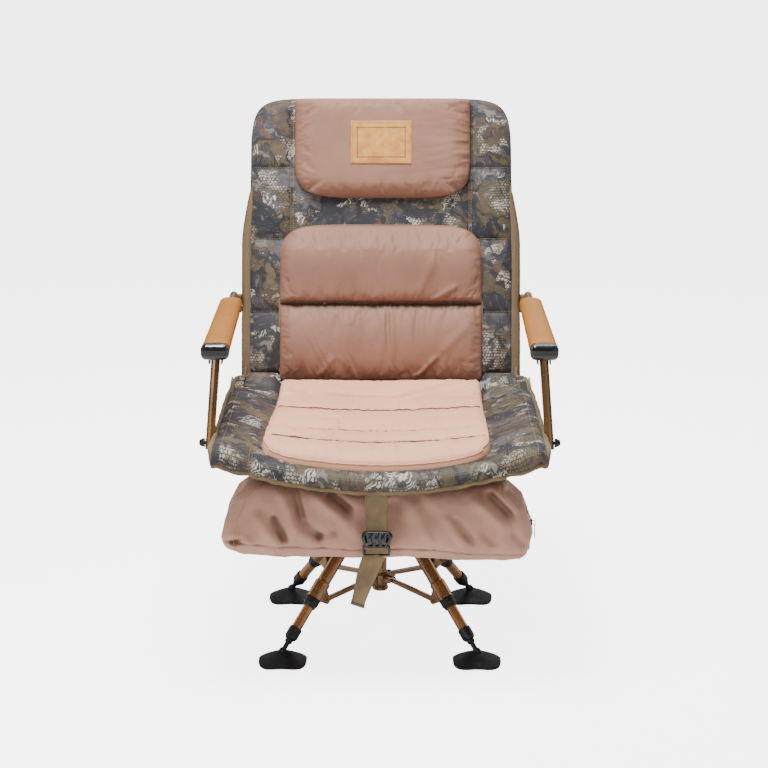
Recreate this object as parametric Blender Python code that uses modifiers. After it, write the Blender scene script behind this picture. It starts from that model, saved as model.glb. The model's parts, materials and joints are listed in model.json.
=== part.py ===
"""Blind swivel chair: a folding field chair on a four-legged swivel base.

The front of the chair faces -Y and +X is its left-hand side as a sitter sees it.
Sizes are measured from the swivel axis, with the floor at Z = 0. The whole chair is
then set back so that the origin is the middle of its footprint.
"""

import math

import bmesh
import bpy
from mathutils import Matrix, Vector

OBJECT_NAME = "blind_swivel_chair"

# Place of the swivel axis, forward of the middle of the chair (metres)
SWIVEL_Y = -0.02294

# General build sizes (metres)
GAP = 0.0004
ROUND_STEPS = 20
TUBE_BEVEL = 4

# Legs: the leg plane is (r, z), r being the distance from the swivel axis
LEG_AZIMUTHS = [math.radians(angle) for angle in (225.0, 315.0, 135.0, 45.0)]
HUB_PIVOT_R = 0.036
HUB_PIVOT_Z = 0.250
BALL_R = 0.2517
BALL_Z = 0.022
LEG_TUBE_RADIUS = 0.0125
LEG_BORE_RADIUS = 0.0103
LEG_TOP = 0.008
SLEEVE_START = 0.163
SLEEVE_END = 0.200
SLEEVE_RADIUS = 0.0148
INNER_LEG_RADIUS = 0.0098
INNER_LEG_TOP = 0.085
SOCKET_START = 0.2645
SOCKET_RADIUS = 0.0122
LOCK_RADIUS = 0.0142
LOCK_LENGTH = 0.0185
BALL_RADIUS = 0.008

# Braces between the legs and the collar that slides on the centre post
BRACE_OUTER_R = 0.1455
BRACE_OUTER_Z = 0.0950
BRACE_INNER_R = 0.0300
BRACE_INNER_Z = 0.1070
BRACE_WIDTH = 0.008
BRACE_HEIGHT = 0.0096
PIN_RADIUS = 0.0025
FORK_SLOT = 0.0090
FORK_WIDTH = 0.0155

# Centre post, hub, collar and swivel
POST_RADIUS = 0.0125
POST_WALL = 0.0022
POST_BOTTOM = 0.0905
POST_TOP = 0.3150
HUB_CORE_RADIUS = 0.0180
HUB_SLOT = 0.0262
HUB_WIDTH = 0.0340
COLLAR_RADIUS = 0.0166
RACE_RADIUS = 0.060
RACE_TOP = 0.3297
PLATE_TOP = 0.3420

# Foot pads
PAD_RADIUS = 0.0470
PAD_LOBES = 4
PAD_LOBE_REACH = 0.055
PAD_LOBE_LIFT = 0.0016
PAD_STEPS = 32

# Seat frame
SIDE_X = 0.279
SIDE_Z = 0.422
SEAT_TUBE_RADIUS = 0.011
SEAT_FRONT_Y = -0.296
SEAT_REAR_Y = 0.165
FRONT_DROP = 0.050
REAR_DROP = 0.030
CORNER = 0.036
CROSSBAR_RADIUS = 0.010
CROSSBAR_Y = 0.090

# Seat cloth and pad
SLING_HALF = 0.2895
SLING_SIDE_Z = 0.4384
SLING_SAG = 0.050
SLING_THICKNESS = 0.004
SEAT_PAD_TOP = 0.4315

# Back: its own frame starts at the fold axis, with +Z up the back
BACK_LEAN = math.radians(15.0)
BACK_PIVOT_Y = 0.207
BACK_PIVOT_Z = 0.437
BACK_TUBE_RADIUS = 0.011
BACK_LOW_X = 0.262
BACK_TOP_X = 0.2425
BACK_TOP = 0.546
BACK_CLOTH_FRONT = -0.0163
BACK_CLOTH_REAR = -0.0115
HEADREST_DEPTH = 0.030
BACK_PAD_DEPTH = 0.0215

# Arm linkage: post pivots on the seat, arm pivots on the post and the back
POST_PIVOT_Y = -0.205
POST_PIVOT_Z = 0.425
ARM_POST_LENGTH = 0.150
ARM_POST_RADIUS = 0.008
ARM_POST_LOW_X = 0.3025
ARM_POST_HIGH_X = 0.2915
ARM_X = 0.2890
ARM_RAIL_RADIUS = 0.008
ARM_RAIL_RISE = 0.024
ARM_PAD_HEIGHT = 0.026
ARM_FORK_TOP = 0.018
ARM_FORK_LENGTH = 0.022
ARM_PAD_FRONT = -0.034
ARM_PAD_REAR = 0.335
ARM_CAP_LENGTH = 0.030
BOLT_RADIUS = 0.0033

# Bag, strap and buckle under the front of the seat
BAG_FRONT_Y = -0.283
BAG_REAR_Y = -0.130
BAG_BOTTOM_Z = 0.240
BAG_TOP_Z = 0.357
BAG_HALF = 0.268
BAG_TOP_HALF = 0.222
STRAP_X = -0.005
STRAP_Y = -0.2985
STRAP_WIDTH = 0.038
STRAP_THICKNESS = 0.0022
BUCKLE_TOP_Z = 0.288
BUCKLE_SPLIT_Z = 0.266
BUCKLE_BOTTOM_Z = 0.246

LEG_ANGLE = math.atan2(BALL_R - HUB_PIVOT_R, HUB_PIVOT_Z - BALL_Z)
LEG_LENGTH = math.hypot(BALL_R - HUB_PIVOT_R, HUB_PIVOT_Z - BALL_Z)


# ---------------------------------------------------------------- basics

def clear_scene():
    """Remove whatever the scene holds."""
    for obj in list(bpy.data.objects):
        bpy.data.objects.remove(obj, do_unlink=True)
    for group in list(bpy.data.collections):
        bpy.data.collections.remove(group)


def new_collection(name):
    """A collection under the scene's own one."""
    group = bpy.data.collections.new(name)
    bpy.context.scene.collection.children.link(group)
    return group


clear_scene()
PARTS = new_collection(OBJECT_NAME)
CUTTERS = new_collection("cutters")
ORIGIN = bpy.data.objects.new("chair_origin", None)
PARTS.objects.link(ORIGIN)
ORIGIN.location = (0.0, SWIVEL_Y, 0.0)


def paint(name, colour, roughness, metallic=0.0):
    """A Principled material of one colour."""
    material = bpy.data.materials.new(name)
    material.use_nodes = True
    shader = material.node_tree.nodes["Principled BSDF"]
    shader.inputs["Base Color"].default_value = (*colour, 1.0)
    shader.inputs["Roughness"].default_value = roughness
    shader.inputs["Metallic"].default_value = metallic
    material.diffuse_color = (*colour, 1.0)
    return material


BRONZE = (0.16, 0.105, 0.06)
BLACK = (0.015, 0.015, 0.017)
RUBBER = (0.022, 0.023, 0.024)
TAUPE = (0.42, 0.30, 0.25)
CAMO = (0.20, 0.18, 0.16)
KHAKI = (0.36, 0.31, 0.20)
TAN = (0.50, 0.41, 0.31)
ZIP_METAL = (0.35, 0.35, 0.36)


def bronze_paint(name):
    """Brown metallic powder coat."""
    return paint(name + "_paint", BRONZE, 0.32, 0.85)


def black_plastic(name):
    """Moulded black plastic."""
    return paint(name + "_plastic", BLACK, 0.38)


def cloth(name, colour):
    """Woven polyester."""
    return paint(name + "_cloth", colour, 0.9)


def place(name, mesh, material=None, parent=None, at=(0, 0, 0), turn=(0, 0, 0), smooth=True):
    """Put a mesh in the scene as a part, or as a cutter when it has no material."""
    obj = bpy.data.objects.new(name, mesh)
    if material:
        mesh.materials.append(material)
        PARTS.objects.link(obj)
    else:
        CUTTERS.objects.link(obj)
        obj.hide_render = True
        obj.display_type = "WIRE"
    obj.parent = parent or ORIGIN
    obj.location = at
    obj.rotation_euler = turn
    for face in mesh.polygons:
        face.use_smooth = smooth
    return obj


def joint_empty(name, at, turn=(0, 0, 0), parent=None):
    """An empty on a joint's axis."""
    empty = bpy.data.objects.new(name, None)
    PARTS.objects.link(empty)
    empty.empty_display_size = 0.02
    empty.parent = parent or ORIGIN
    empty.location = at
    empty.rotation_euler = turn
    return empty


def to_mesh(bm, name):
    """Store a bmesh with its faces turned outwards."""
    bmesh.ops.recalc_face_normals(bm, faces=bm.faces[:])
    if bm.calc_volume(signed=True) < 0.0:
        bmesh.ops.reverse_faces(bm, faces=bm.faces[:])
    mesh = bpy.data.meshes.new(name)
    bm.to_mesh(mesh)
    bm.free()
    return mesh


def box_mesh(name, size, centre=(0, 0, 0)):
    """A box of a given size."""
    bm = bmesh.new()
    bmesh.ops.create_cube(bm, size=1.0)
    bmesh.ops.scale(bm, vec=size, verts=bm.verts)
    bmesh.ops.translate(bm, vec=centre, verts=bm.verts)
    return to_mesh(bm, name)


def rod_mesh(name, radius, length, steps=16, axis="Z"):
    """A solid rod centred on its origin, along one axis."""
    bm = bmesh.new()
    bmesh.ops.create_cone(
        bm, cap_ends=True, segments=steps, radius1=radius, radius2=radius, depth=length
    )
    turns = {"X": Matrix.Rotation(math.pi / 2, 3, "Y"), "Y": Matrix.Rotation(math.pi / 2, 3, "X")}
    if axis in turns:
        bmesh.ops.rotate(bm, matrix=turns[axis], verts=bm.verts)
    return to_mesh(bm, name)


def profile_bmesh(profile, closed):
    """A chain of edges in the XZ plane."""
    bm = bmesh.new()
    verts = [bm.verts.new((radius, 0.0, height)) for radius, height in profile]
    ends = verts[1:] + verts[:1] if closed else verts[1:]
    for start, end in zip(verts, ends):
        bm.edges.new((start, end))
    return bm


def turned(name, profile, material, closed=False, steps=ROUND_STEPS, **where):
    """A round part: a profile swept about its own Z axis."""
    bm = profile_bmesh(profile, closed)
    mesh = bpy.data.meshes.new(name)
    bm.to_mesh(mesh)
    bm.free()
    obj = place(name, mesh, material, **where)
    screw = obj.modifiers.new("Turn", "SCREW")
    screw.steps = steps
    screw.render_steps = steps
    screw.use_merge_vertices = True
    screw.merge_threshold = 0.00001
    screw.use_smooth_shade = True
    return obj


def evaluated_mesh(curve, name):
    """The mesh of a curve, with its caps welded on."""
    holder = bpy.data.objects.new(name + "_curve", curve)
    PARTS.objects.link(holder)
    bpy.context.view_layer.update()
    graph = bpy.context.evaluated_depsgraph_get()
    mesh = bpy.data.meshes.new_from_object(holder.evaluated_get(graph))
    bpy.data.objects.remove(holder, do_unlink=True)
    bpy.data.curves.remove(curve)
    bm = bmesh.new()
    bm.from_mesh(mesh)
    bpy.data.meshes.remove(mesh)
    bmesh.ops.remove_doubles(bm, verts=bm.verts[:], dist=0.000005)
    return bm


def add_spline(curve, points, cyclic):
    """One poly spline through the given points."""
    spline = curve.splines.new("POLY")
    spline.points.add(len(points) - 1)
    for knot, point in zip(spline.points, points):
        knot.co = (*point, 1.0)
    spline.use_cyclic_u = cyclic


def tube_mesh(name, points, radius, cyclic=False):
    """A bent round bar along a path."""
    curve = bpy.data.curves.new(name, "CURVE")
    curve.dimensions = "3D"
    curve.bevel_depth = radius
    curve.bevel_resolution = TUBE_BEVEL
    curve.use_fill_caps = not cyclic
    add_spline(curve, points, cyclic)
    return to_mesh(evaluated_mesh(curve, name), name)


def slab_mesh(name, outline, thickness):
    """A flat plate in XY with a given outline, thick along Z."""
    curve = bpy.data.curves.new(name, "CURVE")
    curve.dimensions = "2D"
    curve.fill_mode = "BOTH"
    curve.extrude = thickness / 2
    add_spline(curve, [(u, v, 0.0) for u, v in outline], True)
    bm = evaluated_mesh(curve, name)
    bmesh.ops.dissolve_limit(bm, angle_limit=0.01, verts=bm.verts[:], edges=bm.edges[:])
    return to_mesh(bm, name)


def arc(centre, radius, start, end, count):
    """Points along a circular arc, angles in degrees."""
    points = []
    for index in range(count + 1):
        angle = math.radians(start + (end - start) * index / count)
        points.append((centre[0] + radius * math.cos(angle), centre[1] + radius * math.sin(angle)))
    return points


def strap_outline(length, radius_a, radius_b, count=6):
    """The outline round two circles, one at the origin and one at +X."""
    lean = math.degrees(math.asin((radius_a - radius_b) / length))
    near = arc((0.0, 0.0), radius_a, 90 - lean, 270 + lean, count)
    far = arc((length, 0.0), radius_b, -90 + lean, 90 - lean, count)
    return near + far


def combine(target, tool, operation):
    """Join a tool to a part, or cut it away."""
    modifier = target.modifiers.new(tool.name, "BOOLEAN")
    modifier.operation = operation
    modifier.solver = "EXACT"
    modifier.object = tool


def soften(obj, width, segments=2, angle=40.0):
    """Round the sharp edges of a part."""
    bevel = obj.modifiers.new("Round", "BEVEL")
    bevel.width = width
    bevel.segments = segments
    bevel.limit_method = "ANGLE"
    bevel.angle_limit = math.radians(angle)


def quilt_mesh(name, columns, rows, lower, upper):
    """A closed solid between two surfaces, each a function of (u, v) in -1..1."""
    bm = bmesh.new()
    bmesh.ops.create_grid(bm, x_segments=columns, y_segments=rows, size=1.0)
    under = {vert: (vert.co.x, vert.co.y) for vert in bm.verts}
    grown = bmesh.ops.extrude_face_region(bm, geom=bm.faces[:], use_keep_orig=True)
    over = [item for item in grown["geom"] if isinstance(item, bmesh.types.BMVert)]
    for vert in over:
        vert.co = upper(vert.co.x, vert.co.y)
    for vert, (u, v) in under.items():
        vert.co = lower(u, v)
    return to_mesh(bm, name)


def round_square(u, v, power):
    """Pull a square's corners in, so that its edge becomes a rounded one."""
    reach = max(abs(u), abs(v))
    if reach < 1e-9:
        return 0.0, 0.0
    scale = reach / (abs(u) ** power + abs(v) ** power) ** (1.0 / power)
    return u * scale, v * scale


def crown(u, v, edge):
    """Thickness of a stuffed pad: 1 in the middle, less at its edge."""
    reach = max(abs(u), abs(v))
    return edge + (1.0 - edge) * math.sqrt(max(0.0, 1.0 - reach ** 4))


# ---------------------------------------------------------------- base

def centre_post():
    """Hollow post from the end cap up to the swivel."""
    inner = POST_RADIUS - POST_WALL
    profile = [
        (POST_RADIUS, POST_TOP), (POST_RADIUS, POST_BOTTOM),
        (inner, POST_BOTTOM), (inner, POST_TOP),
    ]
    turned("centre_post", profile, bronze_paint("centre_post"), closed=True, steps=24)


def post_end_cap():
    """Flanged plug in the bottom of the post."""
    plug = POST_RADIUS - POST_WALL - GAP
    profile = [
        (0.0, 0.106), (plug, 0.106), (plug, 0.0901), (0.0140, 0.0901), (0.0152, 0.0886),
        (0.0152, 0.0838), (0.0135, 0.0818), (0.0, 0.0818),
    ]
    turned("post_end_cap", profile, bronze_paint("post_end_cap"), steps=24)


def radial_slab(name, radius, height, rise, thickness, azimuth, round_radius):
    """A cutter-group slab across the axis, with a round end at each side."""
    ends = [(radius, rise), (-radius, rise)]
    outline = arc(ends[0], round_radius, -90, 90, 5) + arc(ends[1], round_radius, 90, 270, 5)
    mesh = slab_mesh(name, outline, thickness)
    return place(name, mesh, at=(0, 0, height), turn=(math.pi / 2, 0, azimuth))


def fork_casting(target, tag, pivot_r, pivot_z, round_radius, width, slot, slot_start):
    """Give a round casting four forks, one for each leg direction."""
    for index, azimuth in enumerate(LEG_AZIMUTHS[:2]):
        slab = radial_slab(f"{tag}_arms_{index}", pivot_r, pivot_z, 0.0, width, azimuth, round_radius)
        combine(target, slab, "UNION")
    for index, azimuth in enumerate(LEG_AZIMUTHS):
        reach = 0.05
        size = (reach, slot, 4 * round_radius)
        mesh = box_mesh(f"{tag}_slot_{index}", size, (slot_start + reach / 2, 0, 0))
        cutter = place(f"{tag}_slot_{index}", mesh, at=(0, 0, pivot_z), turn=(0, 0, azimuth))
        combine(target, cutter, "DIFFERENCE")


def leg_hub():
    """Casting on the post that carries the four leg pivots."""
    bore = POST_RADIUS + GAP
    half = 0.019
    profile = [
        (0.0, HUB_PIVOT_Z + half), (HUB_CORE_RADIUS, HUB_PIVOT_Z + half),
        (HUB_CORE_RADIUS, HUB_PIVOT_Z - half), (0.0, HUB_PIVOT_Z - half),
    ]
    hub = turned("leg_hub", profile, bronze_paint("leg_hub"), steps=24)
    fork_casting(hub, "hub", HUB_PIVOT_R, HUB_PIVOT_Z, 0.0135, HUB_WIDTH, HUB_SLOT, 0.0198)
    for index, azimuth in enumerate(LEG_AZIMUTHS):
        place_at = (HUB_PIVOT_R * math.cos(azimuth), HUB_PIVOT_R * math.sin(azimuth), HUB_PIVOT_Z)
        mesh = rod_mesh(f"hub_pin_{index}", 0.0030, HUB_WIDTH + 0.004, 8, "Y")
        pin = place(f"hub_pin_{index}", mesh, at=place_at, turn=(0, 0, azimuth))
        combine(hub, pin, "UNION")
    bore_cut = place("hub_bore", rod_mesh("hub_bore", bore, 0.08, 24), at=(0, 0, HUB_PIVOT_Z))
    combine(hub, bore_cut, "DIFFERENCE")


def link_collar():
    """Sliding collar at the foot of the post, with a fork for each brace."""
    bore = POST_RADIUS + GAP
    low = BRACE_INNER_Z - 0.0128
    high = BRACE_INNER_Z + 0.0100
    profile = [
        (0.0, high), (0.0148, high), (COLLAR_RADIUS, high - 0.004), (COLLAR_RADIUS, low + 0.002),
        (COLLAR_RADIUS - 0.001, low), (0.0, low),
    ]
    collar = turned("link_collar", profile, bronze_paint("link_collar"), steps=24)
    slot_start = COLLAR_RADIUS + 0.0001
    fork_casting(
        collar, "collar", BRACE_INNER_R, BRACE_INNER_Z, 0.0058, FORK_WIDTH, FORK_SLOT, slot_start
    )
    cut = place("collar_bore", rod_mesh("collar_bore", bore, 0.06, 24), at=(0, 0, BRACE_INNER_Z))
    combine(collar, cut, "DIFFERENCE")


def swivel_lower():
    """Fixed half of the swivel, socketed on the post."""
    bore = POST_RADIUS + GAP
    profile = [
        (0.0, RACE_TOP), (RACE_RADIUS, RACE_TOP), (RACE_RADIUS, RACE_TOP - 0.006),
        (RACE_RADIUS - 0.004, RACE_TOP - 0.009), (0.026, RACE_TOP - 0.012),
        (0.0185, RACE_TOP - 0.022), (0.0185, 0.288), (bore, 0.288),
        (bore, POST_TOP + GAP), (0.0, POST_TOP + GAP),
    ]
    turned("swivel_lower", profile, bronze_paint("swivel_lower"), steps=28)


# ---------------------------------------------------------------- legs

def leg_frame(index):
    """Empty at a leg's hub pivot: -Z runs down the leg and +Y is the fold axis."""
    azimuth = LEG_AZIMUTHS[index]
    at = (HUB_PIVOT_R * math.cos(azimuth), HUB_PIVOT_R * math.sin(azimuth), HUB_PIVOT_Z)
    return joint_empty(f"leg_pivot_{index + 1}", at, (0, -LEG_ANGLE, azimuth))


def brace_pivot_local():
    """Where the brace is pinned to the leg, in the leg's own frame."""
    out = BRACE_OUTER_R - HUB_PIVOT_R
    down = BRACE_OUTER_Z - HUB_PIVOT_Z
    across = out * math.cos(LEG_ANGLE) + down * math.sin(LEG_ANGLE)
    along = -out * math.sin(LEG_ANGLE) + down * math.cos(LEG_ANGLE)
    return across, along


def outer_leg(index, pivot):
    """Upper leg tube with the swelled sleeve and fork for its brace."""
    name = f"leg_tube_{index + 1}"
    profile = [
        (LEG_TUBE_RADIUS, LEG_TOP), (LEG_TUBE_RADIUS, -SLEEVE_START),
        (SLEEVE_RADIUS, -SLEEVE_START - 0.003), (SLEEVE_RADIUS, -SLEEVE_END),
        (LEG_BORE_RADIUS, -SLEEVE_END), (LEG_BORE_RADIUS, LEG_TOP),
    ]
    tube = turned(name, profile, bronze_paint(name), closed=True, parent=pivot)
    across, along = brace_pivot_local()
    seat = -0.0112
    outline = [(seat, -0.1715)] + arc((across, along), 0.0068, 95, 265, 6) + [(seat, -0.1985)]
    lug = place(name + "_lug", slab_mesh(name + "_lug", outline, FORK_WIDTH), parent=pivot,
                turn=(math.pi / 2, 0, 0))
    combine(tube, lug, "UNION")
    slot_size = (0.030, FORK_SLOT, 0.044)
    slot_mesh = box_mesh(name + "_slot", slot_size, (-SLEEVE_RADIUS - 0.0004 - 0.015, 0, along))
    combine(tube, place(name + "_slot", slot_mesh, parent=pivot), "DIFFERENCE")
    pin_mesh = rod_mesh(name + "_pin", PIN_RADIUS, FORK_WIDTH + 0.004, 12, "Y")
    combine(tube, place(name + "_pin", pin_mesh, parent=pivot, at=(across, 0, along)), "UNION")
    hole_mesh = rod_mesh(name + "_hole", 0.0034, 0.05, 12, "Y")
    combine(tube, place(name + "_hole", hole_mesh, parent=pivot), "DIFFERENCE")


def lock_collar(index, pivot):
    """Twist lock below the sleeve."""
    top = -SLEEVE_END - GAP
    bore = INNER_LEG_RADIUS + GAP
    profile = [
        (LOCK_RADIUS - 0.001, top), (LOCK_RADIUS, top - 0.001), (LOCK_RADIUS, top - 0.011),
        (LOCK_RADIUS - 0.0012, top - 0.013), (LOCK_RADIUS - 0.0022, top - LOCK_LENGTH),
        (bore, top - LOCK_LENGTH), (bore, top),
    ]
    name = f"lock_collar_{index + 1}"
    turned(name, profile, black_plastic(name), closed=True, parent=pivot)


def inner_leg(index, pivot):
    """Telescoping lower leg."""
    name = f"inner_leg_{index + 1}"
    end = SOCKET_START + 0.0135
    length = end - INNER_LEG_TOP
    mesh = rod_mesh(name, INNER_LEG_RADIUS, length, ROUND_STEPS)
    return place(name, mesh, bronze_paint(name), parent=pivot, at=(0, 0, -INNER_LEG_TOP - length / 2))


def foot_socket(index, pivot):
    """Plastic end piece with the ball that carries the foot pad."""
    name = f"foot_socket_{index + 1}"
    bore = INNER_LEG_RADIUS + GAP
    top = -SOCKET_START
    floor = top - 0.014
    centre = -LEG_LENGTH
    stem = 0.0046
    neck = math.degrees(math.acos(stem / BALL_RADIUS))
    ball = arc((0.0, centre), BALL_RADIUS, neck, -90, 5)
    ball[-1] = (0.0, centre - BALL_RADIUS)
    profile = [
        (0.0, floor), (bore, floor), (bore, top), (SOCKET_RADIUS - 0.0006, top),
        (SOCKET_RADIUS, top - 0.0012), (SOCKET_RADIUS, top - 0.0185), (0.0098, top - 0.0235),
        (0.0072, top - 0.0248), (0.0072, top - 0.0300), (0.0046, top - 0.0325),
    ] + ball
    turned(name, profile, black_plastic(name), parent=pivot, steps=16)


def foot_pad(index, pivot):
    """Lobed rubber pad that tilts on the ball."""
    name = f"foot_pad_{index + 1}"
    cup = BALL_RADIUS + GAP
    base = -BALL_Z
    bowl = arc((0.0, 0.0), cup, -90, -6, 4)
    bowl[0] = (0.0, -cup)
    profile = bowl + [
        (0.0106, -0.0008), (0.0132, -0.0014), (0.0178, -0.0034), (0.0300, -0.0094),
        (0.0430, -0.0158), (PAD_RADIUS, -0.0184), (PAD_RADIUS - 0.0008, base),
        (0.0320, base), (0.0, base),
    ]
    bm = profile_bmesh(profile, False)
    bmesh.ops.spin(
        bm, geom=bm.verts[:] + bm.edges[:], cent=(0, 0, 0), axis=(0, 0, 1),
        angle=2 * math.pi, steps=PAD_STEPS, use_duplicate=False,
    )
    bmesh.ops.remove_doubles(bm, verts=bm.verts[:], dist=0.00001)
    for vert in bm.verts:
        wave_pad(vert, base)
    place(name, to_mesh(bm, name), paint(name + "_rubber", RUBBER, 0.55), parent=pivot,
          at=(0, 0, -LEG_LENGTH), turn=(0, LEG_ANGLE, 0))


def wave_pad(vert, base):
    """Draw the pad's rim out into lobes and lift it between them."""
    radius = math.hypot(vert.co.x, vert.co.y)
    start = 0.0140
    edge = (radius - start) / (PAD_RADIUS - start)
    if edge <= 0.0 or (vert.co.z < base + 0.0001 and radius < 0.04):
        return
    angle = math.atan2(vert.co.y, vert.co.x)
    lobe = math.cos(PAD_LOBES * angle)
    stretch = 1.0 + PAD_LOBE_REACH * edge * lobe
    vert.co.x *= stretch
    vert.co.y *= stretch
    vert.co.z += PAD_LOBE_LIFT * edge * edge * (1.0 - lobe)
    vert.co.z += PAD_LOBE_LIFT * edge * (1.0 - edge) * 2.0 * lobe


def brace(index, pivot):
    """Bar from the leg's fork to the sliding collar."""
    name = f"brace_{index + 1}"
    reach = BRACE_OUTER_R - BRACE_INNER_R
    rise = BRACE_INNER_Z - BRACE_OUTER_Z
    length = math.hypot(reach, rise)
    across, along = brace_pivot_local()
    outline = strap_outline(length, BRACE_HEIGHT / 2, BRACE_HEIGHT / 2 - 0.0006)
    tilt = math.pi - math.atan2(rise, reach) - LEG_ANGLE
    bar = place(name, slab_mesh(name, outline, BRACE_WIDTH), bronze_paint(name), parent=pivot,
                at=(across, 0, along), turn=(math.pi / 2, -tilt, 0))
    soften(bar, 0.0012, 1)
    hole_mesh = rod_mesh(name + "_hole", PIN_RADIUS + GAP, 0.02, 12, "Y")
    hole = place(name + "_hole", hole_mesh, parent=pivot, at=(across, 0, along))
    combine(bar, hole, "DIFFERENCE")


def legs():
    """Four legs with their braces."""
    for index in range(len(LEG_AZIMUTHS)):
        pivot = leg_frame(index)
        outer_leg(index, pivot)
        lock_collar(index, pivot)
        inner_leg(index, pivot)
        foot_socket(index, pivot)
        foot_pad(index, pivot)
        brace(index, pivot)


# ---------------------------------------------------------------- seat

def front_bar_z(x):
    """Height of the seat's front bar, which dips towards its middle."""
    return SIDE_Z - FRONT_DROP * (1.0 - (x / SIDE_X) ** 2)


def rear_bar_z(x):
    """Height of the seat's rear bar."""
    return SIDE_Z - REAR_DROP * (1.0 - (x / SIDE_X) ** 4)


def seat_outline():
    """Path of the seat frame, seen from above with heights."""
    points = []
    steps = 10
    inner = SIDE_X - CORNER
    for x, y in arc((inner, SEAT_FRONT_Y + CORNER), CORNER, 0, -90, 5):
        points.append((x, y, front_bar_z(x)))
    for index in range(1, steps):
        x = inner - 2 * inner * index / steps
        points.append((x, SEAT_FRONT_Y, front_bar_z(x)))
    for x, y in arc((-inner, SEAT_FRONT_Y + CORNER), CORNER, 270, 180, 5):
        points.append((x, y, front_bar_z(x)))
    for x, y in arc((-inner, SEAT_REAR_Y - CORNER), CORNER, 180, 90, 5):
        points.append((x, y, rear_bar_z(x)))
    for index in range(1, steps):
        x = -inner + 2 * inner * index / steps
        points.append((x, SEAT_REAR_Y, rear_bar_z(x)))
    for x, y in arc((inner, SEAT_REAR_Y - CORNER), CORNER, 90, 0, 5):
        points.append((x, y, rear_bar_z(x)))
    return points


def seat_frame(swivel):
    """Welded hoop of tube round the seat."""
    mesh = tube_mesh("seat_frame", seat_outline(), SEAT_TUBE_RADIUS, cyclic=True)
    place("seat_frame", mesh, bronze_paint("seat_frame"), parent=swivel)


def crossbar(name, y, swivel):
    """Dropped bar between the seat's side tubes, down on the swivel plate."""
    low = PLATE_TOP + GAP + CROSSBAR_RADIUS
    side = [(0.2674, 0.4100), (0.2420, 0.4020), (0.2000, 0.3720), (0.1700, 0.3570), (0.1400, low)]
    points = [(x, y, z) for x, z in side]
    points += [(-x, y, z) for x, z in reversed(side)]
    mesh = tube_mesh(name, points, CROSSBAR_RADIUS)
    place(name, mesh, bronze_paint(name), parent=swivel)


def swivel_top_plate(swivel):
    """Turning plate with the upper bearing race under it."""
    mesh = box_mesh("swivel_top_plate", (0.230, 0.215, 0.004), (0, 0, PLATE_TOP - 0.002))
    plate = place("swivel_top_plate", mesh, bronze_paint("swivel_top_plate"), parent=swivel, smooth=False)
    low = RACE_TOP + GAP
    high = PLATE_TOP - 0.002
    race_mesh = rod_mesh("upper_race", RACE_RADIUS, high - low, 28)
    race = place("upper_race", race_mesh, parent=swivel, at=(0, 0, (high + low) / 2))
    combine(plate, race, "UNION")


def sling_point(u, v, lift):
    """A point on the seat cloth: u across, v from the rear (-1) to the front edge (+1)."""
    x = (1.5 * u - 0.5 * u ** 3) * SLING_HALF
    over = max(0.0, abs(x) - SIDE_X)
    inside = min(abs(x), SIDE_X) / SIDE_X
    z = SLING_SIDE_Z - SLING_SAG * (1.0 - inside ** 2) - 42.0 * over ** 2 + lift
    roll_start = 0.62
    rear_y = SEAT_REAR_Y - 0.020
    if v <= roll_start:
        share = (v + 1.0) / (roll_start + 1.0)
        return Vector((x, rear_y + (SEAT_FRONT_Y - rear_y) * share, z))
    roll = (v - roll_start) / (1.0 - roll_start) * math.radians(112.0)
    radius = SLING_SIDE_Z - SIDE_Z + lift
    y = SEAT_FRONT_Y - radius * math.sin(roll)
    return Vector((x, y, z - radius * (1.0 - math.cos(roll))))


def seat_sling(swivel):
    """Cloth stretched across the seat and rolled over its front bar."""
    half = SLING_THICKNESS / 2

    def lower(u, v):
        return sling_point(u, v, -half)

    def upper(u, v):
        return sling_point(u, v, half)

    mesh = quilt_mesh("seat_sling", 16, 12, lower, upper)
    place("seat_sling", mesh, cloth("seat_sling", CAMO), parent=swivel)


def seat_pad(swivel):
    """Stuffed pad that lies on the seat cloth."""
    rear = SEAT_REAR_Y - 0.026
    front = SEAT_FRONT_Y + 0.022

    def plan(u, v):
        a, b = round_square(u, v, 6.0)
        y = (rear + front) / 2 - b * (rear - front) / 2
        return a * (0.198 + 0.006 * b), y

    def lower(u, v):
        x, y = plan(u, v)
        sag = SLING_SAG * (1.0 - (x / SIDE_X) ** 2)
        return Vector((x, y, SLING_SIDE_Z - sag + SLING_THICKNESS / 2 + 0.0010))

    def upper(u, v):
        point = lower(u, v)
        reach = max(abs(u), abs(v))
        top = SEAT_PAD_TOP - 0.012 * max(0.0, v) ** 2 - 0.014 * reach ** 8
        return Vector((point.x, point.y, max(top, point.z + 0.004)))

    mesh = quilt_mesh("seat_pad", 12, 12, lower, upper)
    place("seat_pad", mesh, cloth("seat_pad", TAUPE), parent=swivel)


def storage_bag(swivel):
    """Soft bag hung under the front of the seat."""
    bm = bmesh.new()
    bmesh.ops.create_cube(bm, size=1.0)
    for vert in bm.verts:
        high = vert.co.z > 0
        half = BAG_TOP_HALF if high else BAG_HALF
        vert.co.x = math.copysign(half, vert.co.x)
        vert.co.y = BAG_REAR_Y if vert.co.y > 0 else BAG_FRONT_Y
        vert.co.z = BAG_TOP_Z if high else BAG_BOTTOM_Z
    bag = place("storage_bag", to_mesh(bm, "storage_bag"), cloth("storage_bag", TAUPE), parent=swivel)
    soften(bag, 0.022, 4)


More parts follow.
